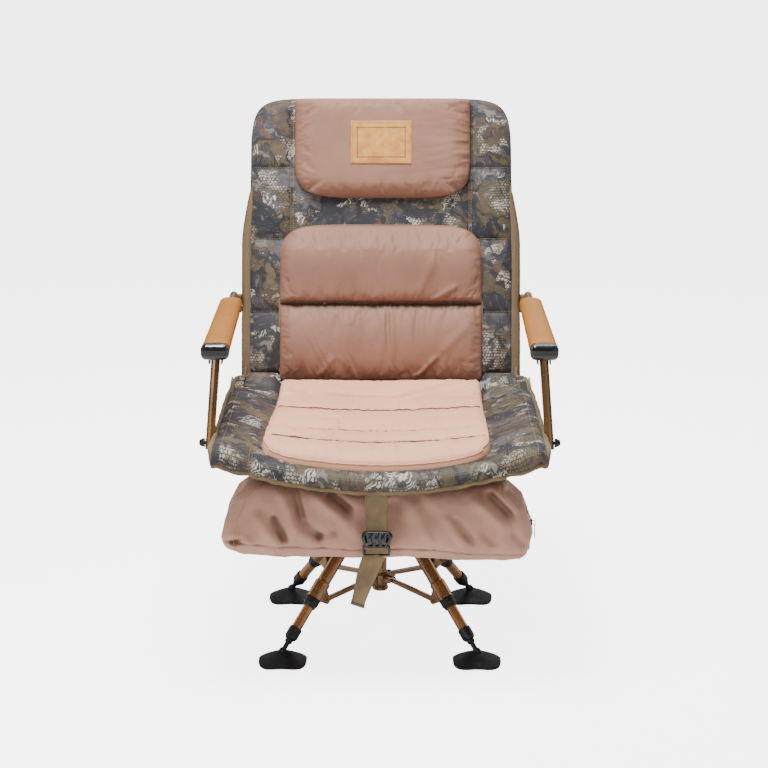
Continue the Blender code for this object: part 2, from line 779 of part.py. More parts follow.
def zipper_pull(swivel):
    """Slider and pull tab of the zip in the bag's end."""
    at = (BAG_HALF + 0.0012, -0.240, 0.288)
    holder = joint_empty("zip_axis", at, parent=swivel)
    body_mesh = box_mesh("zipper_pull", (0.004, 0.009, 0.013))
    body = place("zipper_pull", body_mesh, paint("zipper_metal", ZIP_METAL, 0.35, 0.9), parent=holder)
    tab_mesh = box_mesh("zip_tab", (0.0018, 0.004, 0.034), (0.0018, 0, -0.019))
    combine(body, place("zip_tab", tab_mesh, parent=holder), "UNION")


def front_strap(swivel):
    """Webbing from the front bar down to the buckle."""
    top = front_bar_z(STRAP_X) - SEAT_TUBE_RADIUS - 0.0055
    height = top - BUCKLE_TOP_Z + 0.003
    size = (STRAP_WIDTH, STRAP_THICKNESS, height)
    mesh = box_mesh("front_strap", size, (STRAP_X, STRAP_Y, top - height / 2))
    place("front_strap", mesh, cloth("front_strap", KHAKI), parent=swivel, smooth=False)


def buckle_half(name, low, high, swivel_parent, origin):
    """One half of the side-release buckle."""
    size = (0.046, 0.0085, high - low)
    mesh = box_mesh(name, size, (0, 0, (low + high) / 2 - origin[2]))
    half = place(name, mesh, black_plastic(name), parent=swivel_parent, at=origin)
    soften(half, 0.002, 2)
    return half


def buckle_and_tail(swivel):
    """Side-release buckle with the loose end of the strap."""
    y = STRAP_Y
    socket = buckle_half("buckle_socket", BUCKLE_SPLIT_Z + GAP, BUCKLE_TOP_Z, swivel, (STRAP_X, y, BUCKLE_TOP_Z))
    slot = box_mesh("socket_slot", (0.0392, 0.0034, 0.020), (0, 0, 0.006))
    combine(socket, place("socket_slot", slot, parent=swivel, at=(STRAP_X, y, BUCKLE_TOP_Z)), "DIFFERENCE")
    plug = buckle_half("buckle_plug", BUCKLE_BOTTOM_Z, BUCKLE_SPLIT_Z - GAP, swivel, (STRAP_X, y, BUCKLE_SPLIT_Z))
    prong_mouth(socket, plug, swivel)
    tail_outline = [(-0.019, 0.0), (0.019, 0.0), (-0.012, -0.090), (-0.052, -0.104)]
    tail_mesh = slab_mesh("strap_tail", tail_outline, STRAP_THICKNESS)
    place("strap_tail", tail_mesh, cloth("strap_tail", KHAKI), parent=swivel,
          at=(STRAP_X, y - 0.001, BUCKLE_BOTTOM_Z - GAP), turn=(math.pi / 2, 0, 0), smooth=False)


def prong_mouth(socket, plug, swivel):
    """The plug's centre prong and the socket's mouth that takes it."""
    at = (STRAP_X, STRAP_Y, BUCKLE_SPLIT_Z)
    prong = box_mesh("prong", (0.020, 0.0036, 0.014), (0, 0, 0.002))
    combine(plug, place("prong", prong, parent=swivel, at=at), "UNION")
    mouth = box_mesh("mouth", (0.0212, 0.0046, 0.0205), (0, 0, 0))
    combine(socket, place("mouth", mouth, parent=swivel, at=at), "DIFFERENCE")


def back_hinge(side, swivel):
    """Plate on the seat tube that carries the back's fold bolt."""
    name = "back_hinge_" + ("left" if side < 0 else "right")
    start_y = 0.105
    rise = BACK_PIVOT_Z - SIDE_Z
    run = BACK_PIVOT_Y - start_y
    outline = strap_outline(math.hypot(run, rise), 0.0100, 0.0125)
    plate_x = side * (SIDE_X + SEAT_TUBE_RADIUS + 0.0006 + 0.0015)
    plate = place(name, slab_mesh(name, outline, 0.003), bronze_paint(name), parent=swivel,
                  at=(plate_x, start_y, SIDE_Z), turn=hinge_plate_turn(math.atan2(rise, run)),
                  smooth=False)
    inner_x = BACK_LOW_X + BACK_TUBE_RADIUS + 0.0006
    outer_x = abs(plate_x)
    bush_mesh = rod_mesh(name + "_bush", 0.0070, outer_x - inner_x, 14, "X")
    bush_at = (side * (outer_x + inner_x) / 2, BACK_PIVOT_Y, BACK_PIVOT_Z)
    combine(plate, place(name + "_bush", bush_mesh, parent=swivel, at=bush_at), "UNION")
    bolt_inner = BACK_LOW_X - 0.006
    bolt_outer = outer_x + 0.0026
    bolt_mesh = rod_mesh(name + "_bolt", BOLT_RADIUS, bolt_outer - bolt_inner, 12, "X")
    bolt_at = (side * (bolt_outer + bolt_inner) / 2, BACK_PIVOT_Y, BACK_PIVOT_Z)
    combine(plate, place(name + "_bolt", bolt_mesh, parent=swivel, at=bolt_at), "UNION")


def hinge_plate_turn(rise_angle):
    """Stand an XY plate up in the YZ plane, its +X pointing to +Y and up by an angle."""
    stand = Matrix.Rotation(math.pi / 2, 3, "Z") @ Matrix.Rotation(math.pi / 2, 3, "X")
    return (stand @ Matrix.Rotation(rise_angle, 3, "Z")).to_euler()


def arm_knob(side, swivel):
    """Clamp knob with its bolt through the foot of an arm post."""
    name = "arm_knob_" + ("left" if side < 0 else "right")
    start = SLING_HALF + 0.0008
    head = ARM_POST_LOW_X + ARM_POST_RADIUS + GAP
    profile = [
        (0.0, head + 0.0105), (0.0045, head + 0.0100), (0.0070, head + 0.0060),
        (0.0085, head + 0.0015), (0.0085, head), (BOLT_RADIUS, head), (BOLT_RADIUS, start),
        (0.0, start),
    ]
    local = [(radius, height - head) for radius, height in profile]
    turned(name, local, black_plastic(name), parent=swivel, steps=12,
           at=(side * head, POST_PIVOT_Y, POST_PIVOT_Z), turn=(0, side * math.pi / 2, 0))


def seat():
    """Everything that turns on the swivel with the seat."""
    swivel = joint_empty("swivel_axis", (0, 0, 0))
    swivel_top_plate(swivel)
    seat_frame(swivel)
    crossbar("seat_crossbar_front", -CROSSBAR_Y, swivel)
    crossbar("seat_crossbar_rear", CROSSBAR_Y, swivel)
    seat_sling(swivel)
    seat_pad(swivel)
    storage_bag(swivel)
    zipper_pull(swivel)
    front_strap(swivel)
    buckle_and_tail(swivel)
    for side in (-1, 1):
        back_hinge(side, swivel)
        arm_knob(side, swivel)
    return swivel


# ---------------------------------------------------------------- back

def back_outline():
    """Path of the back hoop in the back's own XZ plane, from one foot to the other."""
    side = [(BACK_LOW_X, -0.012), (BACK_LOW_X, 0.270)]
    for index in range(1, 6):
        share = index / 6
        ease = share * share * (3 - 2 * share)
        side.append((BACK_LOW_X + (BACK_TOP_X - BACK_LOW_X) * ease, 0.270 + 0.160 * share))
    corner = 0.046
    side.append((BACK_TOP_X, 0.430))
    side += arc((BACK_TOP_X - corner, BACK_TOP - corner), corner, 0, 90, 6)
    points = [(x, 0.0, z) for x, z in side]
    points += [(-x, 0.0, z) for x, z in reversed(side)]
    return points


def back_frame(fold):
    """Bent tube hoop of the back, drilled for the fold and arm bolts."""
    mesh = tube_mesh("back_frame", back_outline(), BACK_TUBE_RADIUS)
    frame = place("back_frame", mesh, bronze_paint("back_frame"), parent=fold)
    for side in (-1, 1):
        tag = "left" if side < 0 else "right"
        for kind, height in (("fold", 0.0), ("arm", ARM_POST_LENGTH)):
            name = f"back_{kind}_hole_{tag}"
            start = BACK_LOW_X - 0.0066
            end = BACK_LOW_X + 0.020
            mesh = rod_mesh(name, BOLT_RADIUS + GAP, end - start, 12, "X")
            at = (side * (start + end) / 2, 0, height)
            combine(frame, place(name, mesh, parent=fold, at=at), "DIFFERENCE")


def back_half_width(z):
    """Half width of the back cloth at a height on the back."""
    share = min(1.0, max(0.0, (z - 0.270) / 0.160))
    ease = share * share * (3 - 2 * share)
    return BACK_LOW_X + (BACK_TOP_X - BACK_LOW_X) * ease - 0.006


def back_panel(fold):
    """Cloth panel on the front of the hoop."""
    low = 0.030
    high = BACK_TOP + 0.010

    def point(u, v, y):
        a, b = round_square(u, v, 2.0 + 10.0 * (1.0 if v < 0 else 0.55))
        z = (low + high) / 2 + b * (high - low) / 2
        return Vector((a * back_half_width(z), y, z))

    def lower(u, v):
        return point(u, v, BACK_CLOTH_REAR)

    def upper(u, v):
        return point(u, v, BACK_CLOTH_FRONT)

    mesh = quilt_mesh("back_panel", 8, 14, lower, upper)
    place("back_panel", mesh, cloth("back_panel", CAMO), parent=fold)


def stuffed_pad(name, half, low, high, depth, colour, fold):
    """A stuffed pad on the front of the back cloth."""
    face = BACK_CLOTH_FRONT - 0.0005

    def plan(u, v):
        a, b = round_square(u, v, 7.0)
        return a * half, (low + high) / 2 + b * (high - low) / 2

    def lower(u, v):
        x, z = plan(u, v)
        return Vector((x, face, z))

    def upper(u, v):
        x, z = plan(u, v)
        return Vector((x, face - depth * crown(u, v, 0.45), z))

    mesh = quilt_mesh(name, 12, 8, lower, upper)
    place(name, mesh, cloth(name, colour), parent=fold)


def label_patch(fold):
    """Blank patch sewn to the front of the headrest."""
    size = (0.116, 0.0012, 0.082)
    face = BACK_CLOTH_FRONT - 0.0005 - HEADREST_DEPTH
    mesh = box_mesh("label_patch", size, (0, face - 0.0011, 0.469))
    place("label_patch", mesh, paint("label_patch_leather", TAN, 0.6), parent=fold, smooth=False)


def back():
    """Everything that folds with the back."""
    fold = joint_empty("back_fold_axis", (0, BACK_PIVOT_Y, BACK_PIVOT_Z), (-BACK_LEAN, 0, 0))
    back_frame(fold)
    back_panel(fold)
    stuffed_pad("back_pad", 0.200, 0.035, 0.312, BACK_PAD_DEPTH, TAUPE, fold)
    stuffed_pad("headrest_pillow", 0.173, 0.366, 0.556, HEADREST_DEPTH, TAUPE, fold)
    label_patch(fold)


# ---------------------------------------------------------------- arms

def arm_post(side, axis):
    """Short tube from the seat's side up to the arm."""
    name = "arm_post_" + ("left" if side < 0 else "right")
    low = Vector((side * ARM_POST_LOW_X, 0, -0.0125))
    high = Vector((side * ARM_POST_HIGH_X, 0, ARM_POST_LENGTH + 0.0085))
    mesh = tube_mesh(name, [low, high], ARM_POST_RADIUS)
    post = place(name, mesh, bronze_paint(name), parent=axis)
    for kind, height, x in (("foot", 0.0, ARM_POST_LOW_X), ("head", ARM_POST_LENGTH, ARM_POST_HIGH_X)):
        cutter_name = f"{name}_{kind}_hole"
        mesh = rod_mesh(cutter_name, BOLT_RADIUS + GAP, 0.030, 12, "X")
        cutter = place(cutter_name, mesh, parent=axis, at=(side * x, 0, height))
        combine(post, cutter, "DIFFERENCE")


def arm_rail(side, arm):
    """Tube in the arm with a fork over the post and a lug at the back."""
    name = "arm_rail_" + ("left" if side < 0 else "right")
    rail_front = ARM_PAD_FRONT - 0.012
    reach = BACK_PIVOT_Y - POST_PIVOT_Y
    rail_rear = reach - 0.002
    length = rail_rear - rail_front
    at = (side * ARM_X, (rail_front + rail_rear) / 2, ARM_RAIL_RISE)
    rail = place(name, rod_mesh(name, ARM_RAIL_RADIUS, length, 14, "Y"), bronze_paint(name), parent=arm, at=at)
    parts = fork_over_post(name, side, arm) + rear_lug(name, side, arm, reach)
    for part in parts:
        combine(rail, part, "UNION")


def fork_over_post(name, side, arm):
    """Two cheeks and their bolt over the head of the post."""
    pieces = []
    cheek = 0.0026
    inner = ARM_POST_HIGH_X - ARM_POST_RADIUS - 0.0012
    outer = ARM_POST_HIGH_X + ARM_POST_RADIUS + 0.0024
    low = -0.0085
    high = ARM_FORK_TOP
    for tag, x in (("in", inner - cheek / 2), ("out", outer + cheek / 2)):
        size = (cheek, ARM_FORK_LENGTH, high - low)
        mesh = box_mesh(f"{name}_{tag}", size, (0, 0, (high + low) / 2))
        pieces.append(place(f"{name}_{tag}", mesh, parent=arm, at=(side * x, 0, 0)))
    bridge = outer - inner + 2 * cheek
    mesh = box_mesh(f"{name}_bridge", (bridge, ARM_FORK_LENGTH, 0.005), (0, 0, high - 0.0025))
    pieces.append(place(f"{name}_bridge", mesh, parent=arm, at=(side * (inner + outer) / 2, 0, 0)))
    mesh = rod_mesh(f"{name}_bolt", BOLT_RADIUS, bridge + 0.003, 12, "X")
    pieces.append(place(f"{name}_bolt", mesh, parent=arm, at=(side * (inner + outer) / 2, 0, 0)))
    return pieces


def rear_lug(name, side, arm, reach):
    """Flat lug with the bolt that turns in the back hoop."""
    tube_side = BACK_LOW_X + BACK_TUBE_RADIUS + 0.0008
    thick = 0.0095
    centre_x = tube_side + thick / 2
    mesh = box_mesh(f"{name}_lug", (thick, 0.020, ARM_RAIL_RISE + 0.009), (0, 0, ARM_RAIL_RISE / 2 - 0.0045))
    lug = place(f"{name}_lug", mesh, parent=arm, at=(side * centre_x, reach, 0))
    start = BACK_LOW_X - 0.006
    end = tube_side + thick + 0.003
    mesh = rod_mesh(f"{name}_pin", BOLT_RADIUS, end - start, 12, "X")
    pin = place(f"{name}_pin", mesh, parent=arm, at=(side * (start + end) / 2, reach, 0))
    return [lug, pin]


def arm_pad(side, arm):
    """Padded sleeve round the rail."""
    name = "arm_pad_" + ("left" if side < 0 else "right")
    length = ARM_PAD_REAR - ARM_PAD_FRONT - 0.0008
    front = ARM_PAD_FRONT + 0.0008
    mesh = box_mesh(name, (0.047, length, ARM_PAD_HEIGHT))
    centre = (side * ARM_X, front + length / 2, ARM_RAIL_RISE + 0.0010)
    pad = place(name, mesh, cloth(name, TAN), parent=arm, at=centre)
    soften(pad, 0.006, 3)
    hole_mesh = rod_mesh(name + "_hole", ARM_RAIL_RADIUS + GAP, length + 0.02, 14, "Y")
    hole_at = (side * ARM_X, front + length / 2, ARM_RAIL_RISE)
    combine(pad, place(name + "_hole", hole_mesh, parent=arm, at=hole_at), "DIFFERENCE")
    notch_mesh = box_mesh(name + "_notch", (0.0268, ARM_FORK_LENGTH + 0.0012, 0.020))
    notch_at = (side * (ARM_POST_HIGH_X + 0.0006), 0, ARM_FORK_TOP + 0.0006 - 0.010)
    combine(pad, place(name + "_notch", notch_mesh, parent=arm, at=notch_at), "DIFFERENCE")


def arm_end_cap(side, arm):
    """Moulded cap on the front of the arm."""
    name = "arm_end_cap_" + ("left" if side < 0 else "right")
    mesh = box_mesh(name, (0.050, ARM_CAP_LENGTH, ARM_PAD_HEIGHT + 0.002))
    middle = ARM_PAD_FRONT - ARM_CAP_LENGTH / 2
    centre = (side * ARM_X, middle, ARM_RAIL_RISE + 0.0010)
    cap = place(name, mesh, black_plastic(name), parent=arm, at=centre)
    soften(cap, 0.0095, 4)
    hole_mesh = rod_mesh(name + "_hole", ARM_RAIL_RADIUS + GAP, 0.030, 14, "Y")
    hole_at = (side * ARM_X, ARM_PAD_FRONT + 0.0026, ARM_RAIL_RISE)
    combine(cap, place(name + "_hole", hole_mesh, parent=arm, at=hole_at), "DIFFERENCE")


def arms():
    """Both arms with their posts."""
    lean = Vector((0, math.sin(BACK_LEAN), math.cos(BACK_LEAN))) * ARM_POST_LENGTH
    tilt = math.atan2(BACK_PIVOT_Z - POST_PIVOT_Z, BACK_PIVOT_Y - POST_PIVOT_Y)
    for side, tag in ((-1, "left"), (1, "right")):
        foot = (0, POST_PIVOT_Y, POST_PIVOT_Z)
        axis = joint_empty("arm_post_axis_" + tag, foot, (-BACK_LEAN, 0, 0))
        arm_post(side, axis)
        head = Vector(foot) + lean
        arm = joint_empty("arm_axis_" + tag, head, (tilt, 0, 0))
        arm_rail(side, arm)
        arm_pad(side, arm)
        arm_end_cap(side, arm)


def build():
    """The whole chair."""
    centre_post()
    post_end_cap()
    leg_hub()
    link_collar()
    swivel_lower()
    legs()
    seat()
    back()
    arms()


build()
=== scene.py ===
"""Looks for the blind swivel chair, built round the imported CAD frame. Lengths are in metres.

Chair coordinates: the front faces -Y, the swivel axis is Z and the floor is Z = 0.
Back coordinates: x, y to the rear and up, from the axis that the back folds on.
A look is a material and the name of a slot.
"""

import json
import math

import bpy
import numpy as np
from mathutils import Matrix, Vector

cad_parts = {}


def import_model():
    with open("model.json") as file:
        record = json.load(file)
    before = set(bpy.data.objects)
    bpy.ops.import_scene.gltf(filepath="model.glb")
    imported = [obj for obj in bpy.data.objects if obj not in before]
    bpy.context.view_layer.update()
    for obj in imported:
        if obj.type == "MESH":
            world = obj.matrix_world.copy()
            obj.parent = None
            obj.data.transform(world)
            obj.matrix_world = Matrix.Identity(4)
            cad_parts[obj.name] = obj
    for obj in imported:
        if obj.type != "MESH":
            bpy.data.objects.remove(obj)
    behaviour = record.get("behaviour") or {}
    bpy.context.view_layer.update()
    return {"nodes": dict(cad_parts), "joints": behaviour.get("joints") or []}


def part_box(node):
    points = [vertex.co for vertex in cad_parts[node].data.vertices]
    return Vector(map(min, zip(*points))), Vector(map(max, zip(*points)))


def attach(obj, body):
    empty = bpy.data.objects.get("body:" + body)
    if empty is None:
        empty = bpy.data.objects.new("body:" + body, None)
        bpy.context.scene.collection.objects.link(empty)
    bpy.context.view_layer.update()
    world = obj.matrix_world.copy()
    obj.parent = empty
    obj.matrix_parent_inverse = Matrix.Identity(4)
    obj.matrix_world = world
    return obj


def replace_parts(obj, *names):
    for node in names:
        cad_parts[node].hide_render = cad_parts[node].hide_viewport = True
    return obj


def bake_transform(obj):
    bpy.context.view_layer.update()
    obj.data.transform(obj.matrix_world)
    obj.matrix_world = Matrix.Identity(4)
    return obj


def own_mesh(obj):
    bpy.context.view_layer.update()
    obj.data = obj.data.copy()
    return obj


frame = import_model()
JOINTS = {joint["name"]: Vector(joint["pos_m"]) for joint in frame["joints"] if "pos_m" in joint}
SWIVEL_Y = JOINTS["seat_swivel"].y

# Frame sizes that the soft goods follow
SIDE_X = 0.279
SIDE_Z = 0.422
FRONT_Y = -0.296
FRONT_DROP = 0.05
SLING_Z = 0.4384
SLING_SAG = 0.05
BACK_LEAN = math.radians(15)
HOOP_LOW_X = 0.262
HOOP_TOP_X = 0.2425

# Sewing: the plane on the back that its cushions lie on, the back cover's ends and its seams
PAD_FACE = -0.0165
BACK_LOW = 0.012
BACK_HIGH = 0.5605
SIDE_SEAM = 0.175
CROSS_SEAMS = (0.422, 0.282, 0.139)
CORD_STEP = 0.004
# Rings of one stitch: place along it in stitch lengths, then size and lift in thread radii
BEAD_RINGS = ((-0.5, 0.35, -0.4), (-0.3, 1, 0.35), (0.3, 1, 0.35), (0.5, 0.35, -0.4))

BACK_OUT = (0, -math.cos(BACK_LEAN), math.sin(BACK_LEAN))
UP = (0, 0, 1)
FORWARD = (0, -1, 0)
TAGS = {-1: "left", 1: "right"}


# ---------------------------------------------------------------- numbers

def joint_origin(name):
    """Where a joint turns, in chair coordinates."""
    return JOINTS[name] - Vector((0, SWIVEL_Y, 0))


def node_box(name):
    """Low and high corners of a CAD node, in chair coordinates."""
    return [Vector(corner) - Vector((0, SWIVEL_Y, 0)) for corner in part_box(name)]


def join(*parts):
    """Points from their coordinates, which may be arrays or numbers."""
    return np.stack(np.broadcast_arrays(*parts), axis=-1).astype(float)


def unit(vectors):
    """Vectors brought to length 1."""
    return vectors / (np.linalg.norm(vectors, axis=-1, keepdims=True) + 1e-12)


def distances(points):
    """Distance along a polyline to each of its points."""
    return np.concatenate(([0], np.cumsum(np.linalg.norm(np.diff(points, axis=0), axis=1))))


def ease(t):
    """Smooth step from 0 to 1."""
    t = np.clip(t, 0, 1)
    return t * t * (3 - 2 * t)


def value_noise(x, y, seed):
    """Smooth random field between -1 and 1 with a unit grid."""
    table = np.random.RandomState(seed).rand(64, 64)
    xi, yi = np.floor(x).astype(int), np.floor(y).astype(int)
    fx, fy = ease(x - xi), ease(y - yi)
    low, high = (table[xi % 64, row % 64] * (1 - fx) + table[(xi + 1) % 64, row % 64] * fx
                 for row in (yi, yi + 1))
    return (low * (1 - fy) + high * fy) * 2 - 1


def soft_noise(x, y, seed, octaves=3):
    """Sum of random fields, each finer and weaker than the last."""
    return sum(value_noise(x * 2 ** n, y * 2 ** n, seed + n) / 2 ** n for n in range(octaves)) / 1.75


def gather(along, away, pitch, reach, height, seed):
    """Folds that start at a seam and die out away from it: narrow ridges with wide valleys."""
    lean = along + 0.35 * away * soft_noise(along / (3 * pitch), away * 0, seed + 9, 1)
    field = soft_noise(lean / pitch, away / (3 * reach), seed, 2)
    ridge = 1 - 2 * np.clip(2 * np.abs(field), 0, 1)
    strength = 0.55 + 0.45 * soft_noise(along / (4 * pitch), away * 0 + 7, seed + 5, 1)
    return 0.62 * height * ridge * strength * np.exp(-np.abs(away) / reach)


def gathers(*rows):
    """Sum of gathers, each row ending with one more value: a factor or a mask."""
    return sum(gather(*row) * share for *row, share in rows)


def creases(x, z, lines):
    """Sum of folds along lines given as (x0, z0, x1, z1, width, height)."""
    total = 0
    for x0, z0, x1, z1, width, height in lines:
        dx, dz = x1 - x0, z1 - z0
        length = math.hypot(dx, dz)
        t = ((x - x0) * dx + (z - z0) * dz) / length ** 2
        away = ((x - x0) * dz - (z - z0) * dx) / length
        fade = ease((t + 0.15) / 0.3) * ease((1.15 - t) / 0.35)
        total = total + height * np.exp(-(away / width) ** 2) * fade
    return total


def edge_round(distance, radius):
    """Quarter-circle rise from 0 at an edge to 1 one radius inside it."""
    t = np.clip(distance / radius, 0, 1)
    return np.sqrt(np.clip(1 - (1 - t) ** 2, 0, 1))


def tuck(distance, width):
    """Rise from 0 on a seam to 1 away from it."""
    return 1 - np.exp(-np.abs(distance) / width)


def bell(distance, width):
    """Round bump of height 1."""
    return np.exp(-(distance / width) ** 2)


def dome(t):
    """Round swelling over t from 0 to 1, zero at both ends."""
    return np.clip(1 - (2 * np.clip(t, 0, 1) - 1) ** 2, 0, 1) ** 0.6


def quilt(value, borders):
    """Swelling between neighbouring borders, and the distance to the nearest one."""
    swell = 0 * value
    for low, high in zip(borders, borders[1:]):
        inside = (value >= low) & (value <= high)
        swell = np.where(inside, dome((value - low) / (high - low)), swell)
    return swell, np.min([np.abs(value - border) for border in borders], axis=0)


def spread(half, step, edge, rings=7):
    """Even steps from -1 to 1 with round-edge steps near both ends."""
    start = edge * (1 - np.cos(np.linspace(0, math.pi / 2, rings)))[:-1] - half
    count = max(2, int(round(2 * (half - edge) / step)))
    middle = np.linspace(edge - half, half - edge, count + 1)
    return np.concatenate((start, middle, -start[::-1])) / half


def round_square(u, v, power):
    """Map the unit square to one with round corners; a low power is rounder."""
    reach = np.maximum(np.abs(u), np.abs(v))
    size = (np.abs(u) ** power + np.abs(v) ** power) ** (1 / power)
    factor = np.where(size > 1e-9, reach / np.maximum(size, 1e-9), 1)
    return u * factor, v * factor


def cushion_grid(half, height, steps, edge, powers, rings=8):
    """Grid of a cushion with round corners, from -1 to 1, and its shares from the sides and ends.

    powers are the corner powers of its far half and its near half.
    """
    u, v = np.meshgrid(spread(half, steps[0], edge, rings), spread(height, steps[1], edge, rings),
                       indexing="ij")
    a, b = round_square(u, v, np.where(v > 0, *powers))
    return a, b, 1 - np.abs(u), 1 - np.abs(v)


def round_box(angle, power):
    """Across and up of a rounded unit box at each angle."""
    c, s = np.cos(angle), np.sin(angle)
    return np.sign(c) * np.abs(c) ** (2 / power), np.sign(s) * np.abs(s) ** (2 / power)


def ring_angles(count):
    """Even angles round a circle."""
    return np.linspace(0, 2 * math.pi, count, endpoint=False)


def pinch_ends(count, amount):
    """Sizes along a bar that round its two ends off."""
    t = np.linspace(0, 1, count)
    return 1 - amount * (1 - edge_round(np.minimum(t, 1 - t), 0.12))


def back_point(x, y, up):
    """Back coordinates to chair coordinates."""
    pivot = joint_origin("back_fold")
    c, s = math.cos(BACK_LEAN), math.sin(BACK_LEAN)
    return join(x, pivot.y + y * c + up * s, pivot.z - y * s + up * c)


def resample(points, step, closed=False):
    """Even points along a polyline."""
    pts = np.asarray(points, float)
    if closed:
        pts = np.vstack((pts, pts[:1]))
    length = distances(pts)
    count = max(2, int(round(length[-1] / step)) + 1)
    at = np.linspace(0, length[-1], count)[:-1 if closed else None]
    return join(*(np.interp(at, length, part) for part in pts.T))


def smooth_path(points, rounds=3):
    """Round a polyline off by corner cutting."""
    pts = np.asarray(points, float)
    for _ in range(rounds):
        a, b = pts[:-1], pts[1:]
        cut = np.stack((a * 0.75 + b * 0.25, a * 0.25 + b * 0.75), 1).reshape(-1, 3)
        pts = np.vstack((pts[:1], cut, pts[-1:]))
    return pts


# ---------------------------------------------------------------- meshes

def finish_mesh(name, verts, faces, cloth, body, look):
    """Make a mesh object that rides on a body, facing outwards."""
    mesh = bpy.data.meshes.new(name)
    placed = np.asarray(verts, float) + (0, SWIVEL_Y, 0)
    mesh.from_pydata([tuple(v) for v in placed], [], [tuple(f) for f in faces])
    if signed_volume(mesh) < 0:
        mesh.flip_normals()
    mesh.polygons.foreach_set("use_smooth", [True] * len(mesh.polygons))
    if cloth is not None:
        layer = mesh.attributes.new("cloth", "FLOAT_VECTOR", "POINT")
        layer.data.foreach_set("vector", np.asarray(cloth, np.float32).ravel())
    material, slot = look
    mesh.materials.append(material)
    obj = bpy.data.objects.new(name, mesh)
    bpy.context.scene.collection.objects.link(obj)
    if body:
        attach(obj, body)
    return obj


def signed_volume(mesh):
    """Volume enclosed by a mesh, negative when it is inside out."""
    mesh.calc_loop_triangles()
    index = np.empty(len(mesh.loop_triangles) * 3, np.int32)
    mesh.loop_triangles.foreach_get("vertices", index)
    tri = vertex_points(mesh)[index.reshape(-1, 3)]
    return np.einsum("ij,ij->i", tri[:, 0], np.cross(tri[:, 1], tri[:, 2])).sum() / 6


def vertex_points(mesh):
    """A mesh's vertices as an array."""
    points = np.empty(len(mesh.vertices) * 3)
    mesh.vertices.foreach_get("co", points)
    return points.reshape(-1, 3)


def grid_faces(ids):
    """Quads over a 2-D array of vertex numbers."""
    a, b, c, d = ids[:-1, :-1], ids[1:, :-1], ids[1:, 1:], ids[:-1, 1:]
    return np.stack((a, b, c, d), axis=-1).reshape(-1, 4).tolist()


def tube_faces(rows, cols, closed=False):
    """Quads over a tube of rings, with a face on each end unless the rings close a loop."""
    ids = np.arange(rows * cols).reshape(rows, cols)
    ids = np.concatenate((ids, ids[:, :1]), axis=1)
    if closed:
        return grid_faces(np.concatenate((ids, ids[:1])))
    return grid_faces(ids) + [list(range(cols)), list(range((rows - 1) * cols, rows * cols))[::-1]]


def tube(name, rings, cloth, body, look, closed=False):
    """Tube piece from a 2-D array of points, one row for each ring."""
    faces = tube_faces(*rings.shape[:2], closed)
    return finish_mesh(name, rings.reshape(-1, 3), faces, cloth.reshape(-1, 3), body, look)


def shell(name, front, rear, cloth, body, look):
    """Closed cushion: two grids that share their outer edge."""
    rows, cols = front.shape[:2]
    front_ids = np.arange(rows * cols).reshape(rows, cols)
    rear_ids = front_ids.copy()
    rear_ids[1:-1, 1:-1] = np.arange((rows - 2) * (cols - 2)).reshape(rows - 2, cols - 2) + rows * cols
    verts = np.concatenate((front.reshape(-1, 3), rear[1:-1, 1:-1].reshape(-1, 3)))
    flat = join(cloth[..., 0], cloth[..., 1], 0)
    behind = flat[1:-1, 1:-1] + (0.37, 0.11, 1)
    coords = np.concatenate((flat.reshape(-1, 3), behind.reshape(-1, 3)))
    faces = grid_faces(front_ids) + [face[::-1] for face in grid_faces(rear_ids)]
    return finish_mesh(name, verts, faces, coords, body, look)


def back_cushion(name, hides, x, front, up, rear, look, cloth_shift=(0, 0)):
    """Shell on the back, given by its front and rear depths, in place of a CAD node."""
    cloth = join(x + cloth_shift[0], up + cloth_shift[1])
    piece = shell(name, back_point(x, front, up), back_point(x, rear, up), cloth, "back", look)
    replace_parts(piece, hides)
    return piece


def front_grid(obj, shape):
    """Front points of a shell() piece as they are now, in chair coordinates."""
    front = vertex_points(obj.data)[:shape[0] * shape[1]]
    return front.reshape(*shape, 3) - (0, SWIVEL_Y, 0)


def sweep(name, path, ups, profile, body, look, closed=False, scale=1):
    """Sweep a closed profile (across, up) along a path whose up directions are given."""
    path, profile = np.asarray(path, float), np.asarray(profile, float)
    around = np.roll(path, -1, axis=0) - np.roll(path, 1, axis=0)
    ahead = unit(around if closed else np.gradient(path, axis=0))
    across = unit(np.cross(ahead, np.broadcast_to(ups, path.shape)))
    ups = np.cross(across, ahead)
    sized = profile * np.broadcast_to(scale, len(path))[:, None, None]
    rings = path[:, None] + across[:, None] * sized[..., :1] + ups[:, None] * sized[..., 1:]
    cloth = join(distances(profile), distances(path)[:, None], 0)
    return tube(name, rings, cloth, body, look, closed)


def oval(width, height, sides=12, power=2):
    """Oval or rounded-box profile."""
    a, b = round_box(ring_angles(sides), power)
    return join(a * width / 2, b * height / 2)


def double_band(width, height):
    """Profile of a binding folded over an edge: two soft ridges."""
    angle = ring_angles(16)
    waist = 1 - 0.28 * bell(np.cos(angle), 0.35)
    return join(np.cos(angle) * width / 2, np.sin(angle) * height / 2 * waist)


def band_profile(width, thick):
    """Section of a woven strap: flat, with a thicker rolled edge on each side."""
    half, rim = width / 2, thick * 0.68
    right = [(half * 0.4, thick / 2), (half - 0.003, thick * 0.45), (half - 0.0015, rim),
             (half - 0.0005, rim * 0.8), (half, 0)]
    upper = [(-a, b) for a, b in reversed(right)] + right
    return upper + [(a, -b) for a, b in reversed(upper[1:-1])]


